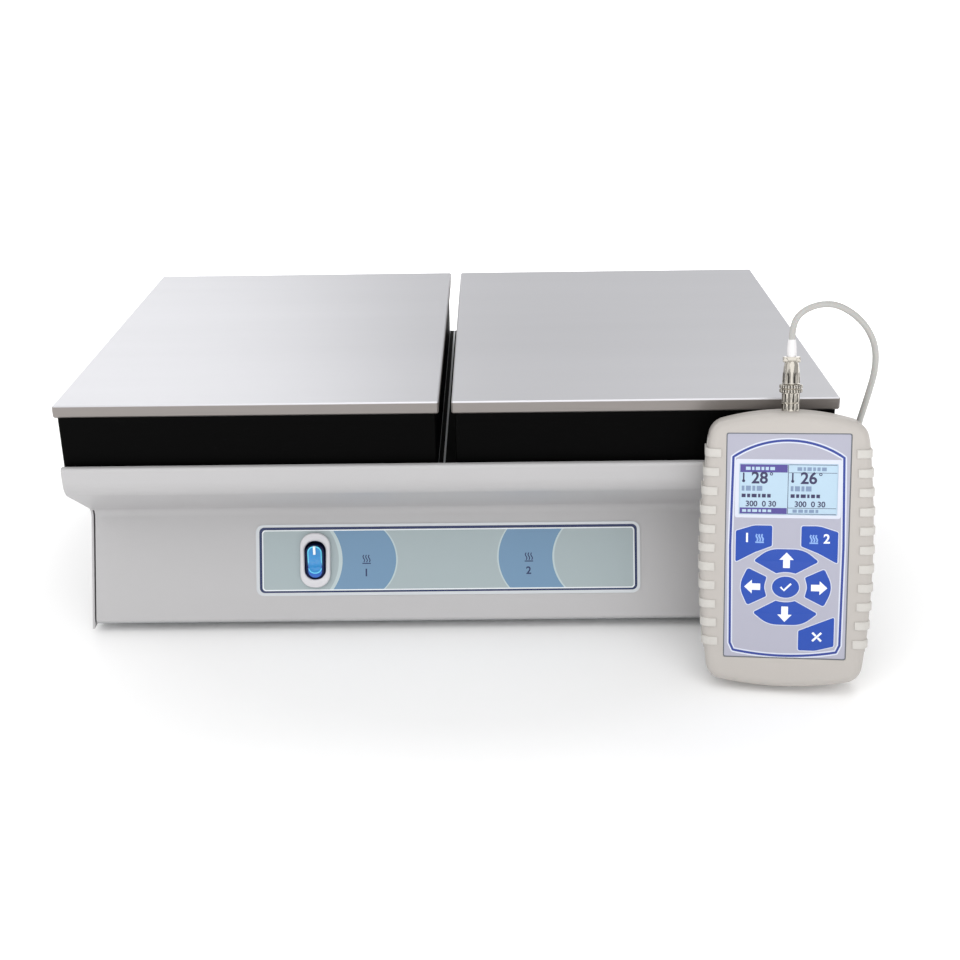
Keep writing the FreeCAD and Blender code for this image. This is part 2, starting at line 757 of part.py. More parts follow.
# Switch bezel: an oval flange on the label, a well for the rocker and a body behind the panel
seatY = -labelThick
bezel = roundedRect(switchCentre - bezelWidth / 2, switchCentre + bezelWidth / 2, labelRise - bezelHeight / 2,
                    labelRise + bezelHeight / 2, bezelCorner, seatY - bezelProud, bezelProud)
frontRim = [edge for edge in bezel.Edges if edge.BoundBox.YMax < seatY - bezelProud + 1e-6]
bezel = bezel.makeFillet(bezelRound, frontRim)
bezel = bezel.fuse(roundedRect(switchCentre - bodyHalf, switchCentre + bodyHalf, labelRise - bodyRise,
                               labelRise + bodyRise, 2.0, seatY, switchDepth))
bezel = bezel.cut(roundedRect(switchCentre - wellWidth / 2, switchCentre + wellWidth / 2,
                              labelRise - wellHeight / 2, labelRise + wellHeight / 2, wellCorner,
                              seatY - bezelProud, bezelProud + wellDepth))
pivotY = seatY + rockerPivotDepth
pivotHalf = wellWidth / 2 + pivotReach
pivotEnd = V(switchCentre - pivotHalf, pivotY, labelRise)
bezel = bezel.cut(rod(pivotRadius + fitGap, pivotEnd, right, 2 * pivotHalf))
pieces["switch_bezel"] = onPanel(bezel.removeSplitter())

blades = []
bladeWide, bladeThin, bladeLong = bladeSize
bladeColumn = 3.4
bladeRow = 8.0
for column in (-bladeColumn, bladeColumn):
    for row in (-bladeRow, bladeRow):
        x = switchCentre + column
        z = labelRise + row
        blades.append(box(x - bladeThin / 2, x + bladeThin / 2, seatY + switchDepth,
                          seatY + switchDepth + bladeLong, z - bladeWide / 2, z + bladeWide / 2))
pieces["switch_terminals"] = onPanel(Part.makeCompound(blades))

# Rocker: a plan outline crossed with a shallow V, on two stub pins
rockerKeel = 3.5
keelHalf = 6.0
rockerDipRadius = 18.0
plan = roundedRect(switchCentre - rockerWidth / 2, switchCentre + rockerWidth / 2, labelRise - rockerHalf,
                   labelRise + rockerHalf, rockerCorner, pivotY - rockerCrown, rockerCrown + rockerKeel)
crownRim = [edge for edge in plan.Edges if edge.BoundBox.YMax < pivotY - rockerCrown + 1e-6]
plan = plan.makeChamfer(rockerBevel, crownRim)
x0 = switchCentre - rockerWidth
crownY = pivotY - rockerCrown
lowEnd = labelRise - rockerHalf - 1
highEnd = labelRise + rockerHalf + 1
profile = [V(x0, crownY, highEnd), V(x0, crownY + rockerDip, labelRise), V(x0, crownY, lowEnd),
           V(x0, pivotY, lowEnd), V(x0, pivotY + rockerKeel, labelRise - keelHalf),
           V(x0, pivotY + rockerKeel, labelRise + keelHalf), V(x0, pivotY, highEnd)]
rocker = plan.common(slab(profile, [0, rockerDipRadius, 0, 0, 0, 0, 0], right * (2 * rockerWidth)))
pinHalf = pivotHalf - looseGap / 2
rocker = rocker.fuse(rod(pivotRadius, V(switchCentre - pinHalf, pivotY, labelRise), right, 2 * pinHalf))
rocker.rotate(V(switchCentre, pivotY, labelRise), right, rockerTilt)
pieces["switch_rocker"] = onPanel(rocker.removeSplitter())

# Electrics on the base pan
boardX = -170.0
boardY = 70.0
boardLong = 120.0
boardDeep = 90.0
boardThick = 1.6
boardInset = 6.0
standoff = 8.0
boardZ = panTop + standoff
board = box(boardX, boardX + boardLong, boardY, boardY + boardDeep, boardZ, boardZ + boardThick)

# Snap-in supports: a foot, a stem under the board, a neck through it and a barb above
supportFoot = 4.0
supportStem = 3.0
supportNeck = 1.5
supportBarb = 2.1
supportTip = 0.9
barbHeight = 2.4
snap = standoff + boardThick
supportProfile = [(0, 0), (supportFoot, 0), (supportStem, 1.5), (supportStem, standoff),
                  (supportNeck, standoff), (supportNeck, snap), (supportBarb, snap + 0.1),
                  (supportTip, snap + barbHeight), (0, snap + barbHeight)]
supports = []
for x in (boardX + boardInset, boardX + boardLong - boardInset):
    for y in (boardY + boardInset, boardY + boardDeep - boardInset):
        board = board.cut(rod(supportNeck + looseGap, V(x, y, boardZ), up, boardThick))
        supports.append(revolved(supportProfile, V(x, y, panTop), up))
pieces["power_board"] = board
pieces["board_supports"] = Part.makeCompound(supports)

# Terminal block and supply on the board
boardTop = boardZ + boardThick
terminalCount = 8
terminalPitch = 10.0
terminalInset = 16.0
terminalDeep = 14.0
terminalHeight = 13.0
terminalSide = 12.0
terminalHole = 2.2
terminalHoleDepth = 5.0
terminalX = boardX + terminalInset
terminalY = boardY + boardDeep - terminalSide - terminalDeep
terminals = box(terminalX, terminalX + terminalCount * terminalPitch, terminalY, terminalY + terminalDeep,
                boardTop, boardTop + terminalHeight)
for i in range(terminalCount):
    mouth = V(terminalX + (i + 0.5) * terminalPitch, terminalY + terminalDeep / 2,
              boardTop + terminalHeight - terminalHoleDepth)
    terminals = terminals.cut(rod(terminalHole, mouth, up, terminalHoleDepth + 1))
pieces["terminal_block"] = terminals
supplyInset = (18.0, 16.0)
supplySize = (50.0, 28.0, 18.0)
supplyRound = 1.0
supplyX = boardX + supplyInset[0]
supplyY = boardY + supplyInset[1]
supply = box(supplyX, supplyX + supplySize[0], supplyY, supplyY + supplySize[1], boardTop,
             boardTop + supplySize[2])
pieces["power_supply"] = supply.makeFillet(supplyRound, supply.Edges)

# Heat sink with its fins down, and two relays on it
sinkX = 20.0
sinkY = 120.0
sinkLong = 130.0
sinkDeep = 70.0
sinkBase = 5.0
finHeight = 18.0
finThick = 2.0
finCount = 12
finTop = panTop + finHeight
sink = box(sinkX, sinkX + sinkLong, sinkY, sinkY + sinkDeep, finTop, finTop + sinkBase)
for i in range(finCount):
    x = sinkX + i * (sinkLong - finThick) / (finCount - 1)
    sink = sink.fuse(box(x, x + finThick, sinkY, sinkY + sinkDeep, panTop, finTop))
pieces["relay_heat_sink"] = sink.removeSplitter()
relayInset = 8.0
relayMargin = 6.0
relayWide = 45.0
relayHeight = 22.0
relayStep = 12.0
relayCheek = 6.0
relayLong = sinkDeep - 2 * relayMargin
relayFoot = finTop + sinkBase
relays = []
for x in (sinkX + relayInset, sinkX + sinkLong - relayInset - relayWide):
    near = sinkY + relayMargin
    relay = box(x, x + relayWide, near, near + relayLong, relayFoot, relayFoot + relayHeight)
    for end in (near, near + relayLong - relayStep):
        relay = relay.cut(box(x + relayCheek, x + relayWide - relayCheek, end, end + relayStep,
                              relayFoot + relayHeight - 10.0, relayFoot + relayHeight))
    relays.append(relay)
pieces["solid_state_relays"] = Part.makeCompound(relays)


# Hand controller
def controllerForm(grow):
    # Rounded slab between four arcs, larger or smaller by one distance all round
    corners = [V(-topHalf, 0, topCorner), V(topHalf, 0, topCorner),
               V(heelHalf, 0, heelCorner), V(-heelHalf, 0, heelCorner)]
    middles = [V(0, 0, crown), V(sideHalf, 0, -4), V(0, 0, heel), V(-sideHalf, 0, -4)]
    edges = [Part.Arc(corners[i], middles[i], corners[(i + 1) % 4]).toShape() for i in range(4)]
    outline = Part.Wire(edges)
    if grow:
        outline = outline.makeOffset2D(grow, 2)
    solid = Part.Face(outline).extrude(back * (bodyDepth + 2 * grow))
    if solid.Volume < 0:
        solid.reverse()
    solid.translate(back * -grow)
    uprights = [edge for edge in solid.Edges if edge.BoundBox.YLength > bodyDepth / 2]
    solid = solid.makeFillet(cornerRound + grow, uprights)
    rims = [edge for edge in solid.Edges if edge.BoundBox.YLength < 1e-3]
    return solid.makeFillet(max(rimRound + grow, 1.0), rims)


def mirrored(shape):
    return shape.mirror(V(0, 0, 0), right)


body = controllerForm(0)
cavity = controllerForm(-shellWall)
grown = controllerForm(ribProud)
parting = bodyDepth / 2
frontHalf = box(-60, 60, -5, parting, -90, 90)
backHalf = box(-60, 60, parting, bodyDepth + 5, -90, 90)
film0, film1 = -filmWidth / 2, filmWidth / 2
filmZ0, filmZ1 = -filmHeight / 2, filmHeight / 2
glassX0 = windowCentre[0] - windowSize[0] / 2 - glassMargin
glassX1 = windowCentre[0] + windowSize[0] / 2 + glassMargin
glassZ0 = windowCentre[1] - windowSize[1] / 2 - glassMargin
glassZ1 = windowCentre[1] + windowSize[1] / 2 + glassMargin

band = box(sideHalf - bandInset - 0.8, sideHalf + 5, 5.0, ribDepth, -bandReach, bandReach)
ribs = []
for i in range(ribCount):
    z = ribTop - i * ribPitch
    ribs.append(box(ribInner, sideHalf + 5, -3, ribDepth, z - ribHeight / 2, z + ribHeight / 2))
ribBlocks = Part.makeCompound(ribs)
grip = grown.common(ribBlocks).cut(body).fuse(body.common(band)).removeSplitter()

socketSeat = V(plugX, parting, crown)
casingShell = body.cut(cavity).cut(band).cut(mirrored(band))
casingShell = casingShell.cut(rod(barrelRadius + fitGap, socketSeat - up * 10, up, 20))
bosses = [(34.0, 55.0), (-34.0, 55.0), (33.5, -64.0), (-33.5, -64.0)]
bossRadius = (3.2, 3.6)
screwBore = (1.2, 1.5)
screwBite = 8.0
headRecess = 2.9
headSink = 3.5
screwHead = (2.6, 1.8)
screwLong = 14.0
frontShell = casingShell.common(frontHalf)
backShell = casingShell.common(backHalf)
controllerScrews = []
for x, z in bosses:
    frontBoss = rod(bossRadius[0], V(x, shellWall / 2, z), back, parting - shellWall / 2)
    backBoss = rod(bossRadius[1], V(x, parting, z), back, bodyDepth - shellWall / 2 - parting)
    headSeat = V(x, bodyDepth - headSink, z)
    frontShell = frontShell.fuse(frontBoss)
    backShell = backShell.fuse(backBoss)
    frontShell = frontShell.cut(rod(screwBore[0], V(x, parting - screwBite, z), back, screwBite))
    backShell = backShell.cut(rod(screwBore[1], V(x, parting, z), back, bodyDepth - parting))
    backShell = backShell.cut(rod(headRecess, headSeat, back, headSink + 0.5))
    controllerScrews.append(panScrew(*screwHead, screwBore[0] - fitGap, screwLong, headSeat, back * -1))
boardFront = 8.0
boardPost = (24.0, -50.0)
postRadius = 2.6
for x in (-boardPost[0], boardPost[0]):
    foot = V(x, shellWall / 2, boardPost[1])
    frontShell = frontShell.fuse(rod(postRadius, foot, back, boardFront - shellWall / 2))
frontShell = frontShell.cut(roundedRect(film0, film1, filmZ0, filmZ1, filmCorner, -1, filmRecess + 1))
frontShell = frontShell.cut(roundedRect(glassX0, glassX1, glassZ0, glassZ1, 1.0, 0, 4))

filmGap = 0.1
windowCorner = 0.6
film = roundedRect(film0 + filmGap, film1 - filmGap, filmZ0 + filmGap, filmZ1 - filmGap, filmCorner,
                   filmRecess - filmThick, filmThick)
film = film.cut(roundedRect(windowCentre[0] - windowSize[0] / 2, windowCentre[0] + windowSize[0] / 2,
                            windowCentre[1] - windowSize[1] / 2, windowCentre[1] + windowSize[1] / 2,
                            windowCorner, 0, 2))


def keyPad(points, radii):
    # One embossed key field, given by corner points (x, z)
    corners = [V(x, filmRecess - filmThick - keyRise, z) for x, z in points]
    return slab(corners, radii, back * keyRise)


# Each key: corner points and their radii; the plate, left and up keys are mirrored to make the rest
padCentre = -21.7
enterHalf = (7.0, 5.7)
plateKey = keyPad([(-26.4, 8.4), (-17.0, 11.4), (-7.6, 11.4), (-7.6, 0.6), (-16.5, -3.0), (-26.4, -8.4)],
                  [1, 12, 1, 1, 12, 0.6])
leftKey = keyPad([(-19.9, -11.6), (-10.0, -16.4), (-11.4, -21.6), (-10.0, -26.8), (-19.9, -31.8),
                  (-24.6, -21.6)], [1.2, 0.8, 8, 0.8, 1.2, 12])
upKey = keyPad([(-16.8, -7.6), (-9.0, -1.2), (9.0, -1.2), (16.8, -7.6), (5.0, -14.2), (0, -12.8),
                (-5.0, -14.2)], [0.8, 14, 14, 0.8, 0.8, 16, 0.8])
keyFields = [plateKey, leftKey, mirrored(plateKey), mirrored(leftKey), upKey]
keyFields.append(upKey.mirror(V(0, 0, padCentre), up))
enter = Part.Face(Part.Wire(Part.Ellipse(V(0, 0, 0), *enterHalf).toShape())).extrude(up * keyRise)
enter.rotate(V(0, 0, 0), right, 90)
enter.translate(V(0, filmRecess - filmThick, padCentre))
keyFields.append(enter)
keyFields.append(keyPad([(7.2, -45.4), (25.6, -37.6), (25.6, -53.4), (16.0, -56.0), (7.2, -56.0)],
                        [0.8, 0.6, 1, 12, 1]))
for field in keyFields:
    film = film.fuse(field)

glassGap = 0.2
glassCorner = 0.8
glassThick = 3.0
moduleHalf = 31.0
moduleMargin = 4.0
display = roundedRect(glassX0 + glassGap, glassX1 - glassGap, glassZ0 + glassGap, glassZ1 - glassGap,
                      glassCorner, filmRecess, glassThick)
display = display.fuse(box(-moduleHalf, moduleHalf, shellWall, boardFront, glassZ0 - moduleMargin,
                           glassZ1 + moduleMargin))
controllerBoardHalf = 29.0
controllerBoardEnds = (-58.0, 52.0)
controllerBoard = box(-controllerBoardHalf, controllerBoardHalf, boardFront, boardFront + boardThick,
                      *controllerBoardEnds)
socket = portBarrel(socketSeat, up, shellWall + 2 * seamGap, portInside)

plugAxisPieces = {
    "controller_plug_ring": plugRing(socketSeat, up),
    "controller_plug_shell": plugShell(socketSeat, up, right),
    "controller_plug_sleeve": plugSleeve(socketSeat, up),
}
controller = {
    "controller_front_shell": frontShell.removeSplitter(),
    "controller_back_shell": backShell.removeSplitter(),
    "controller_right_grip": grip,
    "controller_left_grip": mirrored(grip),
    "controller_keypad": film.removeSplitter(),
    "controller_display": display,
    "controller_board": controllerBoard,
    "controller_screws": Part.makeCompound(controllerScrews),
    "controller_socket": socket,
}
controller.update(plugAxisPieces)

# Stand the controller on the bench and slide it back until it leans on the lip
lean = FreeCAD.Rotation(up, controllerYaw).multiply(FreeCAD.Rotation(right, -controllerLean))
lean = lean.multiply(FreeCAD.Rotation(back, controllerRoll))
stance = FreeCAD.Placement(V(controllerX, -2 * bodyDepth, 0), lean)
standing = body.copy()
standing.Placement = stance.multiply(body.Placement)
stance.move(V(0, 0, -standing.optimalBoundingBox(False).ZMin))
standing.Placement = stance.multiply(body.Placement)
for i in range(8):
    slack = standing.distToShape(apron)[0] - restGap
    stance.move(back * slack)
    standing.translate(back * slack)
print("controller stands at", stance.Base, "gap to the lip", standing.distToShape(apron)[0])
for name, shape in controller.items():
    placed = shape.copy()
    placed.Placement = stance.multiply(shape.Placement)
    pieces[name] = placed


def cable(points):
    # Round cable along straight runs and arcs that are as large as the runs allow
    radii = [0.0]
    for i in range(1, len(points) - 1):
        before = points[i] - points[i - 1]
        after = points[i + 1] - points[i]
        turn = before.getAngle(after)
        radii.append(0.45 * min(before.Length, after.Length) / math.tan(turn / 2))
    radii.append(0.0)
    path = Part.Wire(roundedPath(points, radii))
    ends = (points[1] - points[0]).normalize()
    section = Part.Wire(Part.makeCircle(cableRadius, points[0], ends))
    solid = path.makePipeShell([section], True, False)
    share = solid.Volume / (math.pi * cableRadius ** 2 * path.Length)
    print("cable", round(path.Length), "mm, smallest radius", round(min(radii[1:-1]), 1),
          "mm, largest", round(max(radii)), "mm, volume share", round(share, 4))
    print("  radii", [round(radius, 1) for radius in radii])
    return solid


plugTip = stance.multVec(socketSeat + up * plugEnd)
plugAxis = lean.multVec(up)
print("plug tip", plugTip, "axis", plugAxis)
frontRoute = [plugTip, plugTip + plugAxis * 7.2,
              V(187.2, -4.5, 196.9), V(195.8, -4.0, 200.9), V(205.2, -3.6, 201.0), V(214.6, -2.9, 196.2),
              V(223.0, -2.0, 188.4), V(229.2, -0.6, 177.5), V(231.0, 0.8, 164.0), V(228.6, 2.2, 148.0),
              V(224.5, 3.2, 128.0), V(221.2, 3.2, 101.0), V(219.7, 2.6, 70.0), V(219.5, 2.0, 42.0),
              V(220.5, 5.0, 19.0), V(222.0, 16.0, 4.5), V(223.5, 36.0, 1.8), V(224.0, 76.0, 2.0),
              V(222.0, 131.0, 1.8), V(220.5, 188.0, 2.0), V(222.0, 240.0, 1.8), V(222.5, 275.0, 2.0),
              V(218.0, 299.0, 1.8), V(210.0, 315.5, 2.0), V(197.5, 327.4, 1.8), V(180.0, 337.3, 2.0),
              V(165.0, 337.3, 1.8)]
pieces["cable_front"] = cable(frontRoute)
coilOut = coilMiddle + coilWide * cableRadius
coilIn = coilMiddle - coilWide * cableRadius
coilTop = 2 * cableRadius * coilHigh
pieces["cable_coil"] = tube(coilOut, coilIn, coilCentre, up, coilTop)
rearTip = portSeat + back * plugEnd
rearRoute = [V(165.0, 337.3, 5.3), V(154.0, 337.5, 5.5), V(141.0, 342.5, 6.6), V(129.0, 349.8, 10.2),
             V(119.0, 353.4, 19.0), V(113.2, 350.6, 30.5), V(110.5, 342.3, 40.3), rearTip + back * 10.6, rearTip]
pieces["cable_rear"] = cable(rearRoute)

# Move everything so that the origin is the middle of the footprint on the bench
onCable = [name for name in pieces if name.startswith("cable") or "_plug_" in name]
own = FreeCAD.BoundBox()
for name, shape in pieces.items():
    if name not in onCable:
        own.add(shape.optimalBoundingBox(False))
toOrigin = V(-own.Center.x, -own.Center.y, -own.ZMin)
print("own box", own, "moved by", toOrigin)
for name, shape in pieces.items():
    shape.translate(toOrigin)
    shape.exportStep("parts/" + name + ".step")
print(len(pieces), "nodes")
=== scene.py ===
import bpy
import bmesh
import json
import math
from mathutils import Euler, Matrix, Vector

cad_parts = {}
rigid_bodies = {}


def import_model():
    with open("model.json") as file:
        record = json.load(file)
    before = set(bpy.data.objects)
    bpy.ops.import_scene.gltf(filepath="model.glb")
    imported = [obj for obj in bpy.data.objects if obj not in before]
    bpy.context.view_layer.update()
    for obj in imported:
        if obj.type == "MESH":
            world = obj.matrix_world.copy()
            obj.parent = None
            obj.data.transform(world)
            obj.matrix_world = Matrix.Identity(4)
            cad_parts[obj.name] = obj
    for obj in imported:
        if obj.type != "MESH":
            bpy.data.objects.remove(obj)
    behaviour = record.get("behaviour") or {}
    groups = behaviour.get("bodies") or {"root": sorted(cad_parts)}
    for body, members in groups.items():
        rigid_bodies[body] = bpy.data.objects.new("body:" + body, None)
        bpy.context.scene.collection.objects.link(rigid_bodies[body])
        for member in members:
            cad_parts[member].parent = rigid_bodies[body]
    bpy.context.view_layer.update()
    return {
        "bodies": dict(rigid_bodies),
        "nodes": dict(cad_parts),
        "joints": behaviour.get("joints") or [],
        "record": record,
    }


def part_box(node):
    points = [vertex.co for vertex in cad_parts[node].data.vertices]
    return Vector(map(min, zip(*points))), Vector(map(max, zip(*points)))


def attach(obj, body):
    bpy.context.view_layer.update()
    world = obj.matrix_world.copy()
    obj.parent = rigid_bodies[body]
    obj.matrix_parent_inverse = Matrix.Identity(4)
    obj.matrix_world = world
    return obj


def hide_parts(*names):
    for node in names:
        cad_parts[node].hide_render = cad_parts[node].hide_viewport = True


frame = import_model()
nodes = frame["nodes"]
bodyName = "hot_plate"
rockerBody = "rocker"
mm = 0.001
print("frame loaded,", len(nodes), "nodes")

# Positions are given in millimetres from the bench under the middle of the plates' front edge
plateCorner = (-213.5, 0, 141)
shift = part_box("left_heating_plate")[0] - Vector(plateCorner) * mm
standFrame = Matrix.Translation(shift) @ Matrix.Scale(mm, 4)


def place(x, y, z):
    return Vector((x, y, z)) * mm + shift


# ---- camera, lights and floor

camera = {
    "at": (26.576, -706.37, 398.64),
    "turn": -0.0115,  # about the vertical
    "down": 0.3976,
    "tilt": -0.0152,
    "focal": 1385.1,  # in pixels of a frame as wide as "frame"
    "frame": 960,
    "sensor": 36,
    "farthest": 50,
}


def addCamera():
    forward = Vector((math.sin(camera["turn"]) * math.cos(camera["down"]),
                      math.cos(camera["turn"]) * math.cos(camera["down"]), -math.sin(camera["down"])))
    level = Vector((math.cos(camera["turn"]), -math.sin(camera["turn"]), 0))
    upright = level.cross(forward)
    c, s = math.cos(camera["tilt"]), math.sin(camera["tilt"])
    turn = Matrix((level * c + upright * s, upright * c - level * s, -forward)).transposed().to_4x4()
    data = bpy.data.cameras.new("camera")
    data.sensor_width = camera["sensor"]
    data.lens = camera["focal"] * camera["sensor"] / camera["frame"]
    data.clip_end = camera["farthest"]
    seen = bpy.data.objects.new("camera", data)
    seen.matrix_world = Matrix.Translation(place(*camera["at"])) @ turn
    bpy.context.scene.collection.objects.link(seen)
    bpy.context.scene.camera = seen


studio = {
    "floor": (252, 252, 252),
    "floorRoughness": 0.7,
    "sky": 0.64,
    "lamps": [  # place in metres, size, power, where it looks
        ((0.1, -2.1, 1.9), 3.8, 36, (0, 0, 0.1)),
        ((0.0, -0.6, 2.4), 1.5, 5, (0, 0, 0.1)),
        ((-2.0, -1.1, 1.6), 2.6, 10, (0.1, 0, 0.1)),
        ((-1.0, 2.3, 1.5), 1.7, 8.0, (-0.1, 0, 0.1)),
        ((0.75, 1.6, 2.1), 0.9, 9, (0.1, -0.1, 0.1)),
    ],
    "reach": 30,
    "glow": (0.2, 1.0, 0.85),  # from, to and how strong: the far floor stays white
}
white = (1, 1, 1, 1)


def linear(colour):
    # From the eye's 0 to 255 scale to the renderer's
    parts = [value / 255 for value in colour]
    return [((v + 0.055) / 1.055) ** 2.4 if v > 0.04 else v / 12.92 for v in parts] + [1.0]


def wire(tree, node, wired):
    # Sockets by name or number, each with a value or with another node's socket
    for socket, value in wired.items():
        if isinstance(value, bpy.types.NodeSocket):
            tree.links.new(value, node.inputs[socket])
        else:
            node.inputs[socket].default_value = value
    return node


def addNode(tree, kind, wired=None, **settings):
    node = tree.nodes.new(kind if "Node" in kind else "ShaderNode" + kind)
    for setting, value in settings.items():
        setattr(node, setting, value)
    return wire(tree, node, wired or {})


def newMaterial(name):
    made = bpy.data.materials.new(name)
    made.use_nodes = True
    return made, made.node_tree, made.node_tree.nodes["Principled BSDF"]


def addStudio():
    scene = bpy.context.scene
    scene.view_settings.view_transform = "Standard"
    world = bpy.data.worlds.new("studio")
    world.use_nodes = True
    tree = world.node_tree
    # Soft light from all round, and plain white where the camera looks past the floor
    ray = addNode(tree, "LightPath").outputs["Is Camera Ray"]
    strength = addNode(tree, "MapRange", {"Value": ray, "To Min": studio["sky"]})
    wire(tree, tree.nodes["Background"], {"Color": white, "Strength": strength.outputs["Result"]})
    scene.world = world
    for i, (at, size, power, aim) in enumerate(studio["lamps"]):
        data = bpy.data.lights.new("softbox", "AREA")
        data.shape = "DISK"
        data.size = size
        data.energy = power
        lamp = bpy.data.objects.new("softbox%d" % i, data)
        look = Vector(aim) - Vector(at)
        lamp.matrix_world = Matrix.Translation(at) @ look.to_track_quat("-Z", "Y").to_matrix().to_4x4()
        scene.collection.objects.link(lamp)
    floor = bpy.data.meshes.new("floor")
    far = studio["reach"]
    floor.from_pydata([(-far, -far, 0), (far, -far, 0), (far, far, 0), (-far, far, 0)], [], [(0, 1, 2, 3)])
    ground = bpy.data.objects.new("floor", floor)
    made, tree, shader = newMaterial("floor")
    where = addNode(tree, "TexCoord").outputs["Object"]
    away = addNode(tree, "VectorMath", {0: where}, operation="LENGTH")
    near, distant, most = studio["glow"]
    fade = addNode(tree, "MapRange", {"Value": away.outputs["Value"], "From Min": near,
                                      "From Max": distant, "To Max": most})
    wire(tree, shader, {"Base Color": linear(studio["floor"]), "Roughness": studio["floorRoughness"],
                        "Emission Color": white, "Emission Strength": fade.outputs["Result"]})
    floor.materials.append(made)
    scene.collection.objects.link(ground)


addCamera()
addStudio()
print("camera and studio set")


# ---- materials

finish = {
    "gloss": 0.04,  # how far the roughness drifts to both sides
    "relief": 0.0002,
    "toneDetail": 4,
    "grainDetail": 3,
    "edgeSoftness": 0.0002,
    "plateEdge": (0.1473, (134, 129, 126)),  # height of the plates' bevel, colour of what is below it
    # painted shade in the flutes of the nickel pieces
    "fluteShade": (26, 23, 20),
}


def mixed(tree, factor, first, second):
    mix = addNode(tree, "Mix", {"Factor": factor, "A": first, "B": second}, data_type="RGBA")
    return mix.outputs["Result"]


def surface(name, colour, roughness, metallic=0, tone=(0.03, 18), grain=(0, 900), stretch=(1, 1, 1),
            sockets=None):
    # Colour that drifts slightly, a fine grain in relief and uneven gloss, all from the object's own place;
    # tone and grain are a strength and a scale each
    made, tree, shader = newMaterial(name)
    own = addNode(tree, "TexCoord").outputs["Object"]
    spread = addNode(tree, "Mapping", {"Vector": own, "Scale": stretch}).outputs["Vector"]
    drift, fine = [
        addNode(tree, "TexNoise", {"Vector": spread, "Scale": scale, "Detail": detail}).outputs["Fac"]
        for scale, detail in ((tone[1], finish["toneDetail"]), (grain[1], finish["grainDetail"]))]
    dark, light = [[min(v * (1 + change), 1) for v in linear(colour)[:3]] + [1] for change in (-tone[0], tone[0])]
    sheen = addNode(tree, "MapRange", {"Value": fine, "To Min": roughness - finish["gloss"],
                                       "To Max": roughness + finish["gloss"]})
    wire(tree, shader, sockets or {})
    wire(tree, shader, {"Base Color": mixed(tree, drift, dark, light), "Metallic": metallic,
                        "Roughness": sheen.outputs["Result"]})
    if grain[0]:
        relief = addNode(tree, "Bump", {"Height": fine, "Strength": grain[0],
                                        "Distance": finish["relief"]})
        wire(tree, shader, {"Normal": relief.outputs["Normal"]})
    return made


def recolour(made, factor, low=None, high=None):
    # Another base colour where the factor is low or where it is high
    base = made.node_tree.nodes["Principled BSDF"].inputs["Base Color"]
    before = base.links[0].from_socket
    made.node_tree.links.new(mixed(made.node_tree, factor, low or before, high or before), base)


def splitByHeight(made, level, colour):
    # Another base colour below one height of the object
    tree, soft = made.node_tree, finish["edgeSoftness"]
    own = addNode(tree, "TexCoord").outputs["Object"]
    height = addNode(tree, "SeparateXYZ", {"Vector": own}).outputs["Z"]
    above = addNode(tree, "MapRange", {"Value": height, "From Min": level - soft,
                                       "From Max": level + soft})
    recolour(made, above.outputs["Result"], low=linear(colour))


def paintFluteShade(made, colour):
    # Painted shade: a darker tint where a turned piece's own mark says that it is cut in, for the shade in its flutes
    cut = addNode(made.node_tree, "Attribute", attribute_name="groove")
    recolour(made, cut.outputs["Fac"], high=linear(colour))


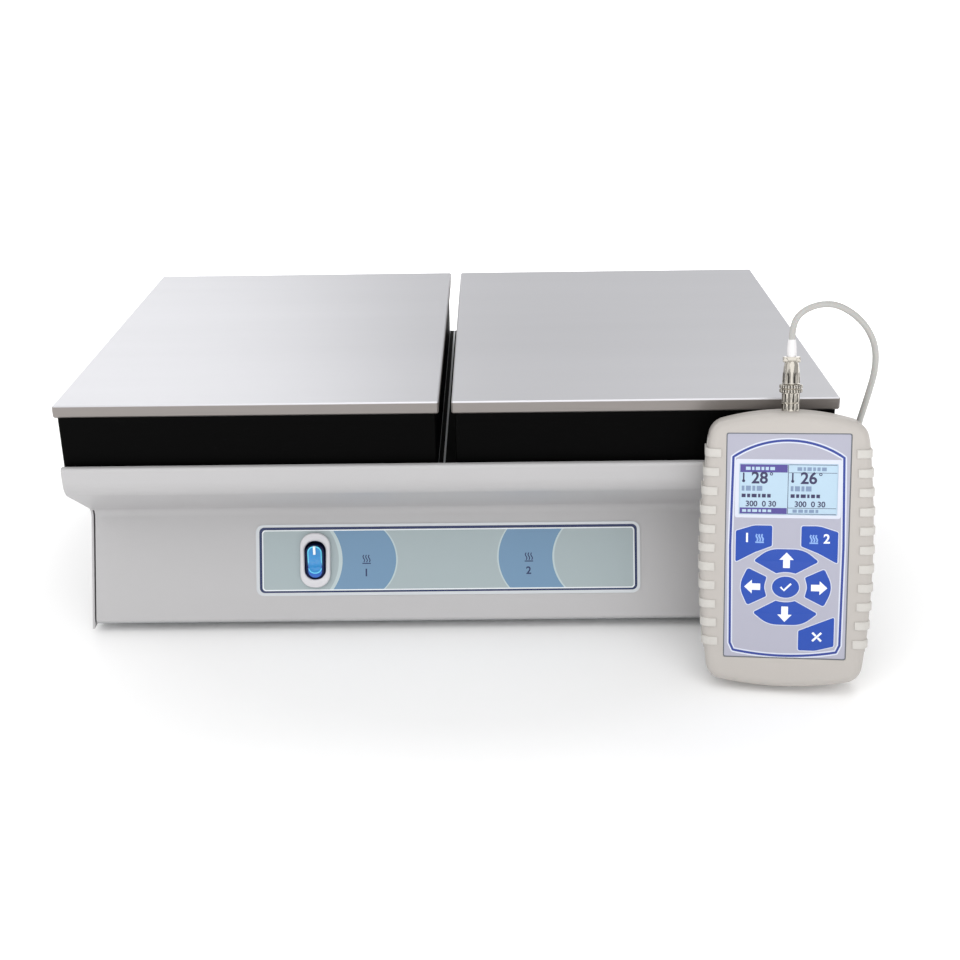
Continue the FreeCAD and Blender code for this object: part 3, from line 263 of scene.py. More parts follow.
paints = {  # colour, roughness, metallic, tone, grain, stretch and any other sockets, as surface() takes them
    "groundPlate": ((201, 201, 205), 0.37, 0.75, (0.05, 9), (0.08, 700), (0.25, 3, 1)),
    # black enamel of the skirts, also the painted shade on the deck between them
    "skirtEnamelAndGapShade": ((2, 2, 2), 0.55, 0, (0.2, 18), (0.05, 900), (1, 1, 1), {"Specular IOR Level": 0.04}),
    "powderCoat": ((180, 179, 180), 0.42, 0, (0.015, 7), (0.16, 650)),
    "zincSheet": ((176, 178, 180), 0.42, 0.85, (0.12, 90), (0, 900), (1, 1, 3)),
    "heaterSteel": ((150, 148, 144), 0.5, 0.8, (0.1, 60)),
    "mineralWool": ((214, 205, 180), 0.95, 0, (0.12, 300), (0.9, 420)),
    "screwSteel": ((192, 192, 194), 0.3, 0.95, (0.06, 400), (0.1, 900)),
    "ceramic": ((236, 232, 222), 0.6, 0, (0.04, 200), (0.15, 900)),
    "footRubber": ((26, 26, 27), 0.75, 0, (0.15, 200), (0.4, 1500)),
    "blackPlastic": ((24, 24, 26), 0.48, 0, (0.1, 120), (0.3, 2200)),
    "nickel": ((188, 183, 174), 0.13, 1.0, (0.05, 300), (0.05, 1500)),
    "brass": ((206, 172, 98), 0.28, 1.0, (0.1, 300), (0.08, 900)),
    "seamGrey": ((108, 104, 99), 0.6, 0, (0.05, 18), (0.05, 900)),
    # painted shade in the screws' cross recesses and in the fuse caps' slots
    "recessShadeDark": ((52, 50, 48), 0.6, 0.6, (0.1, 300), (0.1, 900)),
    "labelFilm": ((158, 171, 174), 0.36, 0, (0.01, 20), (0.05, 1600)),
    "labelRim": ((192, 196, 200), 0.3, 0.3, (0.02, 18), (0.05, 900)),
    "bandBlue": ((104, 139, 169), 0.36, 0, (0.012, 20), (0.05, 1600)),
    "bandHalo": ((180, 195, 197), 0.36, 0, (0.01, 20), (0.05, 1600)),
    "navyInk": ((22, 38, 84), 0.4, 0, (0.08, 60), (0.05, 900)),
    "whiteInk": ((226, 231, 234), 0.4, 0, (0.01, 18), (0.05, 900)),
    "bezelWhite": ((206, 205, 209), 0.22, 0, (0.01, 60), (0.02, 900), (1, 1, 1),
                   {"Coat Weight": 0.3, "Coat Roughness": 0.12}),
    # navy of the rocker's body, also the painted shade lining the switch's well
    "navyRockerAndWellShade": ((10, 22, 66), 0.45, 0, (0.15, 200), (0.03, 900), (1, 1, 1), {"Specular IOR Level": 0.2}),
    "rockerFoot": ((38, 98, 190), 0.25, 0, (0.1, 200), (0.03, 900)),
    "rockerEdge": ((92, 208, 238), 0.18, 0, (0.05, 200), (0.02, 900), (1, 1, 1), {"Coat Weight": 0.5}),
    "rockerBlue": ((2, 132, 198), 0.16, 0, (0.12, 120), (0.02, 900), (1, 1, 1),
                   {"Coat Weight": 0.6, "Coat Roughness": 0.06, "Subsurface Weight": 0.2, "Subsurface Scale": 0.002}),
    "markWhite": ((236, 242, 246), 0.3, 0, (0.01, 18), (0.02, 900)),
    "controllerGrey": ((181, 176, 171), 0.5, 0, (0.012, 40), (0.22, 1900)),
    "gripGrey": ((196, 193, 188), 0.6, 0, (0.02, 60), (0.28, 1500)),
    # painted shade along the edge of the keypad's recess
    "filmRecessShadeGrey": ((104, 110, 118), 0.5, 0, (0.02, 60), (0.1, 900)),
    "filmGrey": ((168, 168, 183), 0.34, 0, (0.008, 30), (0.06, 1700)),
    "filmPale": ((206, 211, 224), 0.36, 0, (0.01, 18), (0.05, 900)),
    "filmNavy": ((38, 58, 140), 0.36, 0, (0.05, 80), (0.05, 900)),
    "keyBlue": ((2, 64, 164), 0.3, 0, (0.06, 50), (0.04, 1800)),
    "keyPale": ((132, 168, 222), 0.36, 0, (0.03, 18), (0.05, 900)),
    "glassPale": ((178, 203, 221), 0.12, 0, (0.015, 40), (0, 900), (1, 1, 1),
                  {"Coat Weight": 0.8, "Coat Roughness": 0.03}),
    "digitInk": ((48, 44, 84), 0.3, 0, (0.06, 200), (0.02, 900)),
    "digitFaint": ((120, 140, 170), 0.3, 0, (0.06, 200), (0.02, 900)),
    "headerInk": ((76, 66, 140), 0.3, 0, (0.06, 90), (0.02, 900)),
    "sleeveWhite": ((224, 222, 223), 0.42, 0, (0.02, 40)),
    "cableJacket": ((174, 173, 170), 0.42, 0, (0.02, 40), (0.05, 1800), (1, 1, 1),
                    {"Subsurface Weight": 0.1, "Subsurface Scale": 0.001}),
    "boardGreen": ((16, 88, 44), 0.35, 0, (0.2, 160), (0.1, 900)),
    "blockGreen": ((34, 140, 70), 0.45, 0, (0.05, 18), (0.1, 900)),
    "plainWhite": ((232, 232, 228), 0.45, 0, (0.03, 18), (0.08, 900)),
    "bareAluminium": ((196, 198, 200), 0.4, 0.9, (0.06, 150), (0, 900), (1, 6, 1)),
}
nodePaint = {  # by the slot of the CAD node
    # the skirts' black enamel paint also serves as the painted shade in the gap
    "plate_metal": "groundPlate", "skirt_paint": "skirtEnamelAndGapShade", "casing_paint": "powderCoat",
    "zinc_sheet": "zincSheet", "heater_steel": "heaterSteel", "mineral_wool": "mineralWool", "steel": "screwSteel",
    "spacer_ceramic": "ceramic", "foot_rubber": "footRubber", "black_plastic": "blackPlastic", "nickel": "nickel",
    "brass": "brass", "label_foil": "labelRim", "bezel_plastic": "bezelWhite", "rocker_plastic": "rockerBlue",
    "circuit_board": "boardGreen", "green_plastic": "blockGreen", "white_plastic": "plainWhite",
    "bare_aluminium": "bareAluminium", "controller_plastic": "controllerGrey", "grip_rubber": "gripGrey",
    "key_film": "filmGrey", "display_glass": "glassPale", "cable_jacket": "cableJacket",
}
paint = {name: surface(name, *values) for name, values in paints.items()}
splitByHeight(paint["groundPlate"], *finish["plateEdge"])
# Painted shade in the nickel's flutes
paintFluteShade(paint["nickel"], finish["fluteShade"])
for node in nodes.values():
    slot = node.data.materials[0].name
    node.data.materials.clear()
    node.data.materials.append(paint[nodePaint[slot]])
print("materials made")


# ---- shared ways of making a piece

def addPiece(name, mesh, made, slot, *replaced, body=bodyName):
    if isinstance(mesh, list):
        mesh = joined(mesh)
    mesh.materials.clear()
    mesh.materials.append(paint[made])
    piece = bpy.data.objects.new(name, mesh)
    bpy.context.scene.collection.objects.link(piece)
    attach(piece, body)
    if replaced:
        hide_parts(*replaced)
    return piece


def faceFrame(origin, right, upward, outward):
    # Millimetres on a face: X to the right, Y up the face, Z out of it
    return Matrix.Translation(origin) @ Matrix((right, upward, outward)).transposed().to_4x4() @ Matrix.Scale(mm, 4)


def closeUp(mesh, weld=2e-6, angle=35):
    # One skin with its faces outwards, smooth but for its real edges
    skin = bmesh.new()
    skin.from_mesh(mesh)
    bmesh.ops.remove_doubles(skin, verts=skin.verts, dist=weld)
    bmesh.ops.recalc_face_normals(skin, faces=skin.faces)
    skin.to_mesh(mesh)
    skin.free()
    mesh.polygons.foreach_set("use_smooth", [True] * len(mesh.polygons))
    mesh.set_sharp_from_angle(angle=math.radians(angle))
    return mesh


def released(skin, frame=Matrix()):
    mesh = bpy.data.meshes.new("skin")
    skin.to_mesh(mesh)
    skin.free()
    mesh.transform(frame)
    return closeUp(mesh)


def joined(meshes):
    whole = bmesh.new()
    for mesh in meshes:
        whole.from_mesh(mesh)
    return released(whole)


def newCurve(name, kind="CURVE", **settings):
    data = bpy.data.curves.new(name, kind)
    for setting, value in settings.items():
        setattr(data, setting, value)
    return data


def addSpline(data, points, kind="POLY"):
    spline = data.splines.new(kind)
    spline.points.add(len(points) - 1)
    for point, at in zip(spline.points, points):
        point.co = (*at, 1)
    return spline


def fromCurve(data, frame):
    mesh = bpy.data.meshes.new_from_object(bpy.data.objects.new("curve", data))
    mesh.transform(frame)
    return mesh


def raised(data, low, high, frame, soft=0.0):
    data.extrude = (high - low) / 2 - soft
    return closeUp(fromCurve(data, frame @ Matrix.Translation((0, 0, (low + high) / 2))))


def cutShape(shape, low, high, frame, soft=0.0):
    # Flat shape between two levels of a face, from one outline or a list of them; one inside another is a hole
    data = newCurve("outline", dimensions="2D", fill_mode="BOTH", bevel_depth=soft, bevel_resolution=3,
                    offset=-soft)
    for outline in shape if isinstance(shape[0], list) else [shape]:
        addSpline(data, [(*point, 0) for point in outline]).use_cyclic_u = True
    return raised(data, low, high, frame, soft)


def cutAll(shapes, low, high, frame, soft=0.0):
    return [cutShape(shape, low, high, frame, soft) for shape in shapes]


def levels(values, kind):
    # A piece's own two levels, counted from its face
    return [values["face"] + level for level in values["levels"][kind]]


def figure(text, x, y, height, low, high, frame, bold=0.035, capital=0.7):
    data = newCurve("figure", "FONT", body=text, size=height / capital, align_x="CENTER", align_y="CENTER",
                    offset=bold * height)
    return raised(data, low, high, frame @ Matrix.Translation((x, y, 0)))


def arc(centre, radius, begin, end, steps=24):
    angles = [math.radians(begin + (end - begin) * i / steps) for i in range(steps + 1)]
    return [(centre[0] + radius * math.cos(a), centre[1] + radius * math.sin(a)) for a in angles]


def disc(centre, radius, steps=24):
    return arc(centre, radius, 0, 360 - 360 / steps, steps - 1)


def oblong(x0, x1, y0, y1):
    return [(x0, y0), (x1, y0), (x1, y1), (x0, y1)]


def rounded(corners, radii, steps=8):
    # Closed outline with an arc at each corner
    outline = []
    for i, corner in enumerate(corners):
        here = Vector(corner)
        before = (Vector(corners[i - 1]) - here).normalized()
        after = (Vector(corners[(i + 1) % len(corners)]) - here).normalized()
        half = before.angle(after) / 2
        reach = radii[i] / math.tan(half)
        centre = here + (before + after).normalized() * radii[i] / math.sin(half)
        first = here + before * reach - centre
        turn = first.angle_signed(here + after * reach - centre, 0)
        for step in range(steps + 1):
            a = -turn * step / steps
            outline.append((centre.x + first.x * math.cos(a) - first.y * math.sin(a),
                            centre.y + first.x * math.sin(a) + first.y * math.cos(a)))
    return outline


def panelShape(x0, x1, y0, y1, radius, less=0.0):
    return rounded(oblong(x0 + less, x1 - less, y0 + less, y1 - less), [radius] * 4)


def shapeAt(x, y, width, height, radius, less=0.0):
    return panelShape(x - width / 2, x + width / 2, y - height / 2, y + height / 2, radius - less, less)


def grown(outline, distance):
    # The same outline, larger all round
    area = sum(a[0] * b[1] - b[0] * a[1] for a, b in zip(outline, outline[1:] + outline[:1]))
    sign = 1 if area > 0 else -1
    result = []
    for i, point in enumerate(outline):
        before = Vector(point) - Vector(outline[i - 1])
        after = Vector(outline[(i + 1) % len(outline)]) - Vector(point)
        along = before.normalized() + after.normalized()
        along.normalize()
        result.append((point[0] + along.y * distance * sign, point[1] - along.x * distance * sign))
    return result


def ribbon(points, width):
    # A stroke of even width along a line
    sides = [[], []]
    for i, point in enumerate(points):
        along = Vector(points[min(i + 1, len(points) - 1)]) - Vector(points[max(i - 1, 0)])
        along.normalize()
        for side, sign in zip(sides, (1, -1)):
            side.append((point[0] - along.y * sign * width / 2, point[1] + along.x * sign * width / 2))
    return sides[0] + sides[1][::-1]


heatSign = {  # in parts of its size
    "bar": 0.47,
    "waves": (-0.32, 0, 0.32),
    "swing": 0.09,
    "rise": (0.33, 0.85),  # how far under the middle the waves begin and how high they are
    "steps": 12,
}


def waves(x, y, size, stroke):
    # Heat sign: three rising waves over a bar
    level, steps = y - heatSign["bar"] * size, heatSign["steps"]
    under, height = heatSign["rise"]
    shapes = [ribbon([(x - size / 2, level), (x + size / 2, level)], stroke)]
    for aside in heatSign["waves"]:
        line = [(x + size * (aside + heatSign["swing"] * math.sin(2 * math.pi * i / steps)),
                 y + size * (height * i / steps - under)) for i in range(steps + 1)]
        shapes.append(ribbon(line, stroke))
    return shapes


def coverRows(skin, rows):
    # Faces between closed rows of the same number of points, and one under the first row
    for below, above in zip(rows, rows[1:]):
        for i in range(len(below)):
            j = (i + 1) % len(below)
            skin.faces.new((below[i], below[j], above[j], above[i]))
    skin.faces.new(rows[0][::-1])


def turned(profile, frame, around=72, flutes=0):
    # Turned piece about the frame's own Z; each point has a radius, a height and how deep its flutes are
    skin = bmesh.new()
    # How deep each point lies in a flute; the nickel's painted flute shade reads this mark
    groove = skin.verts.layers.float.new("groove")
    rows = []
    for radius, height, *cut in profile:
        row = []
        for i in range(around):
            angle = 2 * math.pi * i / around
            into = (0.5 - 0.5 * math.cos(flutes * angle)) ** 2
            reach = radius - cut[0] * into if cut else radius
            row.append(skin.verts.new((reach * math.cos(angle), reach * math.sin(angle), height)))
            row[-1][groove] = into if cut else 0.0
        rows.append(row)
    coverRows(skin, rows)
    skin.faces.new(rows[-1])
    return released(skin, frame)


class NodeTree:
    # A Geometry Nodes tree with named inputs, used once and baked into a plain mesh
    def __init__(self, name, **sizes):
        self.tree = bpy.data.node_groups.new(name, "GeometryNodeTree")
        for way in ("INPUT", "OUTPUT"):
            self.tree.interface.new_socket("Geometry", in_out=way, socket_type="NodeSocketGeometry")
        self.sizes = {}
        for size, value in sizes.items():
            kind = "NodeSocketInt" if isinstance(value, int) else "NodeSocketFloat"
            self.sizes[self.tree.interface.new_socket(size, in_out="INPUT", socket_type=kind).identifier] = value
        self.given = self.tree.nodes.new("NodeGroupInput")

    def size(self, name):
        return self.given.outputs[name]

    def add(self, kind, wired=None, **settings):
        return addNode(self.tree, kind if "Node" in kind else "GeometryNode" + kind, wired, **settings).outputs[0]

    def sum(self, operation, a, b):
        return self.add("ShaderNodeMath", {0: a, 1: b}, operation=operation)

    def vector(self, **parts):
        return self.add("ShaderNodeCombineXYZ", parts)

    def position(self, axis):
        where = self.add("InputPosition")
        return addNode(self.tree, "SeparateXYZ", {0: where}).outputs[axis]

    def together(self, kind, socket, pieces, **settings):
        # A node that takes several pieces in one socket
        node = addNode(self.tree, "GeometryNode" + kind, **settings)
        for piece in pieces:
            self.tree.links.new(piece, node.inputs[socket])
        return node.outputs[0]

    def bake(self, start, last, made, frame):
        # Ends in real geometry with its material, evaluated once on the start mesh
        real = self.add("RealizeInstances", {0: last})
        coloured = self.add("SetMaterial", {0: real, "Material": paint[made]})
        end = self.tree.nodes.new("NodeGroupOutput")
        self.tree.links.new(coloured, end.inputs[0])
        holder = bpy.data.objects.new(self.tree.name, start)
        modifier = holder.modifiers.new("nodes", "NODES")
        modifier.node_group = self.tree
        for identifier, value in self.sizes.items():
            modifier[identifier] = value
        bpy.context.scene.collection.objects.link(holder)
        ready = holder.evaluated_get(bpy.context.evaluated_depsgraph_get())
        mesh = bpy.data.meshes.new_from_object(ready)
        holder.modifiers.clear()
        bpy.data.objects.remove(holder)
        mesh.transform(frame)
        return closeUp(mesh)


def lineMesh(points, **marks):
    # Points in a row joined by edges, with a number or a vector for each point under each mark
    mesh = bpy.data.meshes.new("line")
    mesh.from_pydata(points, [(i, i + 1) for i in range(len(points) - 1)], [])
    for mark, values in marks.items():
        if isinstance(values[0], tuple):
            stored = mesh.attributes.new(mark, "FLOAT_VECTOR", "POINT")
            stored.data.foreach_set("vector", [number for vector in values for number in vector])
        else:
            mesh.attributes.new(mark, "FLOAT", "POINT").data.foreach_set("value", values)
    return mesh


# ---- front apron: one folded sheet from the hem behind the lip down to the flange under the casing

apron = {
    "sheet": 1.2,
    "halfWidth": 211.7,
    "panelHalf": 209.5,
    "notchRise": 1.0,  # the sheet is wider from this far above the waist
    "hemTop": 113.0,
    "deckTop": 103.5,
    "lipDepth": 5.0,
    "lipProud": 4.9,
    "lipFace": 8.0,
    "lipCurve": 13.0,
    "sweepAngle": 33.0,
    "panelTilt": 22.5,
    "foot": (13.7, 6.4),
    "flange": 12.0,
    "hemBend": 1.7,
    "waistBend": 6.0,
    "bendSteps": 14,
    "weld": 0.001,
    "switchHole": (-79.4, 36.7, 14.4, 28.4),  # middle on the panel, width and height
    "holeCut": (-1.0, 12.0),  # middle and length of the cut through the sheet
}
tilt = math.radians(apron["panelTilt"])
panelFrame = faceFrame(place(0, *apron["foot"]), (1, 0, 0), (0, math.sin(tilt), math.cos(tilt)),
                       (0, -math.cos(tilt), math.sin(tilt)))


def frontApron():
    sweep = math.radians(apron["sweepAngle"])
    front = -apron["lipProud"]
    sweepTop = apron["hemTop"] - apron["lipFace"] - apron["lipCurve"] * math.tan((math.pi / 2 - sweep) / 2)
    footY, footZ = apron["foot"]
    length = ((footY - front) * math.cos(tilt) + (sweepTop - footZ) * math.sin(tilt)) / math.cos(sweep - tilt)
    waist = (front + length * math.cos(sweep), sweepTop - length * math.sin(sweep))
    hemY = apron["lipDepth"] + front
    path = [(hemY, apron["deckTop"]), (hemY, apron["hemTop"]), (front, apron["hemTop"]), (front, sweepTop),
            waist, (footY, footZ), (footY + apron["flange"], footZ)]
    bends = [0, apron["hemBend"], apron["hemBend"], apron["lipCurve"], apron["waistBend"], apron["hemBend"], 0]
    start = lineMesh([(0, y, z) for y, z in path], bend=bends)
    nodes = NodeTree("foldedApron", Sheet=apron["sheet"], HalfWidth=apron["halfWidth"],
                     PanelHalf=apron["panelHalf"], NotchHeight=waist[1] + apron["notchRise"],
                     BendSteps=apron["bendSteps"])
    line = nodes.add("MeshToCurve", {"Mesh": nodes.size("Geometry")})
    radius = nodes.add("InputNamedAttribute", {"Name": "bend"}, data_type="FLOAT")
    bent = nodes.add("FilletCurve", {"Curve": line, "Count": nodes.size("BendSteps"), "Radius": radius,
                                     "Limit Radius": True}, mode="POLY")
    wireMesh = nodes.add("CurveToMesh", {"Curve": bent})
    above = nodes.sum("GREATER_THAN", nodes.position("Z"), nodes.size("NotchHeight"))
    extra = nodes.sum("SUBTRACT", nodes.size("HalfWidth"), nodes.size("PanelHalf"))
    half = nodes.sum("ADD", nodes.sum("MULTIPLY", above, extra), nodes.size("PanelHalf"))
    moved = nodes.add("SetPosition", {"Geometry": wireMesh,
                                      "Offset": nodes.vector(X=nodes.sum("MULTIPLY", half, -1.0))})
    face = nodes.add("ExtrudeMesh", {"Mesh": moved, "Offset Scale": 1.0, "Offset": nodes.vector(
        X=nodes.sum("MULTIPLY", half, 2.0))}, mode="EDGES")
    solid = nodes.add("ExtrudeMesh", {"Mesh": face, "Offset Scale": nodes.size("Sheet"),
                                      "Individual": False}, mode="FACES")
    base = nodes.add("FlipFaces", {"Mesh": face})
    both = nodes.together("JoinGeometry", 0, (solid, base))
    whole = nodes.add("MergeByDistance", {"Geometry": both, "Distance": apron["weld"]})
    x, y, wide, high = apron["switchHole"]
    level, depth = apron["holeCut"]
    block = nodes.add("MeshCube", {"Size": (wide, high, depth)})
    middle = standFrame.inverted() @ panelFrame @ Vector((x, y, level))
    cutter = nodes.add("Transform", {"Geometry": block, "Translation": tuple(middle),
                                     "Rotation": Euler((math.pi / 2 - tilt, 0, 0))})
    opened = nodes.add("MeshBoolean", {"Mesh 1": whole, "Mesh 2": cutter},
                       operation="DIFFERENCE", solver="EXACT")
    return nodes.bake(start, opened, "powderCoat", standFrame)


addPiece("front_apron_sheet", frontApron(), "powderCoat", "casing_paint", "front_apron")
print("apron folded")


# ---- control label on the apron

label = {
    "face": 0.5,  # outer face of the film above the panel
    "levels": {"field": (-0.2, 0.02), "bands": (-0.1, 0.035), "halos": (-0.1, 0.03), "line": (-0.1, 0.05),
               "signs": (0, 0.05), "innerLine": (-0.1, 0.045)},
    "field": (-110.9, 108.3, 18.6, 54.5),
    "line": (-112.5, 109.8, 17.5, 56.1),
    "innerLine": (0.7, 2, 1.6),  # width and both radii
    "corner": 3.0,
    "bands": (((-93.5, 36.7, 30.0), (-55.8, 36.7, 23.9), 1), ((56.4, 37.4, 28.0), (87.0, 37.2, 27.0), -1)),
    "halos": (-2.2, 0.9, -0.9, 1.1),
    "signs": ((-49.4, 36.8, "1"), (46.2, 37.2, "2")),
    "signSize": 5.0,
    "stroke": 0.62,
    "figure": (-0.2, -8.0, 4.3),  # beside and under its sign, height
}


def bandSide(circle, side, shift=0.0, steps=28):
    # Points up one side of a circle, from the lower to the upper edge of the field
    x, y, radius = circle
    low, high = label["field"][2:]
    heights = [low + (high - low) * i / steps for i in range(steps + 1)]
    return [(x + shift + side * math.sqrt(radius ** 2 - (h - y) ** 2), h) for h in heights]


def onLabel(shapes, kind):
    return cutAll(shapes, *levels(label, kind), panelFrame)


def controlLabel():
    field, corner = label["field"], label["corner"]
    hole = shapeAt(*apron["switchHole"], 2)
    addPiece("label_field", onLabel([[panelShape(*field, corner - 1), hole]], "field"), "labelFilm", "label_foil")
    films = [bandSide(first, side) + bandSide(second, side)[::-1] for first, second, side in label["bands"]]
    addPiece("label_bands", onLabel(films, "bands"), "bandBlue", "label_foil")
    edges = [(circle, band[2]) for band in label["bands"] for circle in band[:2]]
    strips = [bandSide(circle, side) + bandSide(circle, side, width)[::-1]
              for (circle, side), width in zip(edges, label["halos"])]
    addPiece("label_halos", onLabel(strips, "halos"), "bandHalo", "label_foil")
    ink = onLabel([[panelShape(*label["line"], corner), panelShape(*field, corner - 1)]], "line")
    aside, drop, height = label["figure"]
    for x, y, number in label["signs"]:
        ink += onLabel(waves(x, y, label["signSize"], label["stroke"]), "signs")
        ink.append(figure(number, x + aside, y + drop, height, *levels(label, "signs"), panelFrame))
    addPiece("label_print", ink, "navyInk", "label_foil")
    width, outer, inner = label["innerLine"]
    pale = [panelShape(*field, outer), panelShape(*field, inner, width)]
    addPiece("label_inner_line", onLabel([pale], "innerLine"), "whiteInk", "label_foil")


controlLabel()
print("label printed")


# ---- rocker switch

switch = {
    "at": (-79.4, 36.7),
    "bezel": (17.8, 32.2, 7.9),
    "bezelLevels": (0.4, 3.5, 1.1),  # under and upper side, rounding
    "well": (12.4, 22.5, 5.6),
    "wellFloor": (-8.5, -8.2),
    # painted shade: a navy lining over the well's walls, this far into the bezel and into the well
    "wellShadeLining": (0.02, 0.2),  # into the bezel and into the well
    "wellShadeLiningTop": 2.75,
    "body": (14.0, 28.0, 2),
    "bodyDepth": 19.5,
    "crown": 6.2,
    "dip": 1.3,
    "saddle": (10.9, 1.4),  # half length and power of the curve along the rocker
    "pivot": -1.0,
    "tilt": 11.0,
    "caps": {  # width, height, corner, underside, over the saddle, edge, how far up
        "rocker_body": (11.0, 19.8, 4.6, -2.5, -0.5, 0.7, 0.0),
        "rocker_foot": (8.4, 18.9, 4.1, 3.0, -0.3, 0.5, 0.0),
        "rocker_edge": (8.6, 16.8, 4.0, 3.0, -0.1, 0.5, 1.35),
        "rocker_lens": (7.7, 15.9, 3.6, 3.0, 0.05, 0.7, 1.35),
    },
    "rings": (0.5, 0.75, 0.95),  # of the corner radius, over the top
    "edgeSteps": 4,
    "mark": (7.3, 1.4, 5.0, 0.3),  # how far up, width, height and corners
    "markLevels": (-0.6, 0.24),
    "markLean": 0.45,
}
rockerFrame = panelFrame @ Matrix.Translation((*switch["at"], switch["pivot"])) @ Matrix.Rotation(
    math.radians(switch["tilt"]), 4, "X")


def around(shape, less=0.0):
    return shapeAt(*switch["at"], *shape, less)


def saddle(y):
    half, power = switch["saddle"]
    return switch["crown"] - switch["dip"] * (1 - abs(y) / half) ** power


def saddleCap(width, height, radius, low, lift, edge, rise):
    # Closed cap whose top follows the saddle, rounded along its edge
    outline = shapeAt(0, rise, width, height, radius)
    steps = switch["edgeSteps"]
    angles = [a * math.pi / (2 * steps) for a in range(steps + 1)]
    rings = [(0.0, None)] + [(edge * (1 - math.cos(a)), edge * (math.sin(a) - 1)) for a in angles]
    rings += [(radius * share, 0.0) for share in switch["rings"]]
    skin = bmesh.new()
    rows = []
    for inset, drop in rings:
        rows.append([skin.verts.new((x, y, low if drop is None else saddle(y) + lift + drop))
                     for x, y in grown(outline, -inset)])
    coverRows(skin, rows)
    top, count = rows[-1], len(outline)
    for i in range(count // 2):
        a, b = top[i], top[i + 1]
        c, d = top[count - 2 - i], top[count - 1 - i]
        if len({a, b, c, d}) == 4:
            skin.faces.new((a, b, c, d))
        elif len({a, b, c}) == 3:
            skin.faces.new((a, b, c))
    return released(skin, rockerFrame)


def rockerSwitch():
    well, body = around(switch["well"]), around(switch["body"])
    under, upper, soft = switch["bezelLevels"]
    floor, floorTop = switch["wellFloor"]
    outward, inward = switch["wellShadeLining"]
    addPiece("switch_bezel_frame", [
        cutShape([around(switch["bezel"]), well], under, upper, panelFrame, soft),
        cutShape([body, well], floor, label["face"], panelFrame),
        cutShape(body, -switch["bodyDepth"], floor, panelFrame)], "bezelWhite", "bezel_plastic", "switch_bezel")
    # Painted shade: a navy lining over the white bezel's well walls and floor, where the gap round the rocker lies in
    # shade
    addPiece("switch_well_painted_shade", [
        cutShape([around(switch["well"], -outward), around(switch["well"], inward)], floor, switch["wellShadeLiningTop"],
                 panelFrame), cutShape(well, floor, floorTop, panelFrame)], "navyRockerAndWellShade", "bezel_plastic")
    for name, made, replaced in (("rocker_body", "navyRockerAndWellShade", ["switch_rocker"]), ("rocker_foot", "rockerFoot", []),
                                 ("rocker_edge", "rockerEdge", []), ("rocker_lens", "rockerBlue", [])):
        addPiece(name, saddleCap(*switch["caps"][name]), made, "rocker_plastic", *replaced, body=rockerBody)
    half, power = switch["saddle"]
    lean = math.atan(switch["dip"] * power / half * switch["markLean"])
    markFrame = rockerFrame @ Matrix.Translation((0, 0, saddle(switch["mark"][0]))) @ Matrix.Rotation(lean, 4, "X")
    addPiece("rocker_mark", cutShape(shapeAt(0, *switch["mark"]), *switch["markLevels"], markFrame), "markWhite",
             "rocker_plastic", body=rockerBody)


rockerSwitch()
print("switch built")


# ---- cross recesses of the casing's screws, as dark marks of painted shade

screws = {
    "head": 1.95,
    "sink": 0.28,
    "arm": 3.4,
    "slot": 0.75,
    "depth": 0.6,
    "half": 211.7,
    "sideRows": (40.0, 145.0, 250.0),
    "sideHeight": 96.3,
    "rearSpread": 160.0,
    "rear": 283.0,
}


def crossRecesses():
    # One dark cross of painted shade instanced on every head that shows, turned to face out of its panel
    proud = screws["head"] - screws["sink"]
    spots = [(side * (screws["half"] + proud), y, screws["sideHeight"]) for side in (-1, 1)
             for y in screws["sideRows"]]
    spots += [(side * screws["rearSpread"], screws["rear"] + proud, screws["sideHeight"]) for side in (-1, 0, 1)]
    faces = [(-1.0, 0.0, 0.0)] * 3 + [(1.0, 0.0, 0.0)] * 3 + [(0.0, 1.0, 0.0)] * 3
    nodes = NodeTree("crossRecess", Arm=screws["arm"], Slot=screws["slot"], Depth=screws["depth"])
    bars = [nodes.add("MeshCube", {"Size": nodes.vector(
        X=nodes.size(along), Y=nodes.size(across), Z=nodes.size("Depth"))})
            for along, across in (("Arm", "Slot"), ("Slot", "Arm"))]
    cross = nodes.together("MeshBoolean", "Mesh 2", bars, operation="UNION", solver="EXACT")
    facing = nodes.add("InputNamedAttribute", {"Name": "facing"}, data_type="FLOAT_VECTOR")
    outward = nodes.add("FunctionNodeAlignRotationToVector", {"Vector": facing}, axis="Z")
    points = nodes.add("MeshToPoints", {"Mesh": nodes.size("Geometry")})
    placed = nodes.add("InstanceOnPoints", {"Points": points, "Instance": cross, "Rotation": outward})
    return nodes.bake(lineMesh(spots, facing=faces), placed, "recessShadeDark", standFrame)


# Painted shade in the cross recesses of the screw heads
addPiece("casing_screw_recesses", crossRecesses(), "recessShadeDark", "steel")
print("screw recesses cut")


# ---- black sheet of painted shade and bare seam on the deck between the skirts

gap = {
    "margin": 0.25,
    "thick": 0.25,
    "sink": 0.05,
    "seamAt": 0.32,  # part of the way from the left skirt to the right one
    "seam": 1.1,
    "seamThick": 0.12,
}


def slab(low, high):
    mesh = bpy.data.meshes.new("slab")
    corners = [(x, y, z) for z in (low[2], high[2]) for x, y in oblong(low[0], high[0], low[1], high[1])]
    sides = [(0, 3, 2, 1), (4, 5, 6, 7), (0, 1, 5, 4), (1, 2, 6, 5), (2, 3, 7, 6), (3, 0, 4, 7)]
    mesh.from_pydata(corners, [], sides)
    return mesh


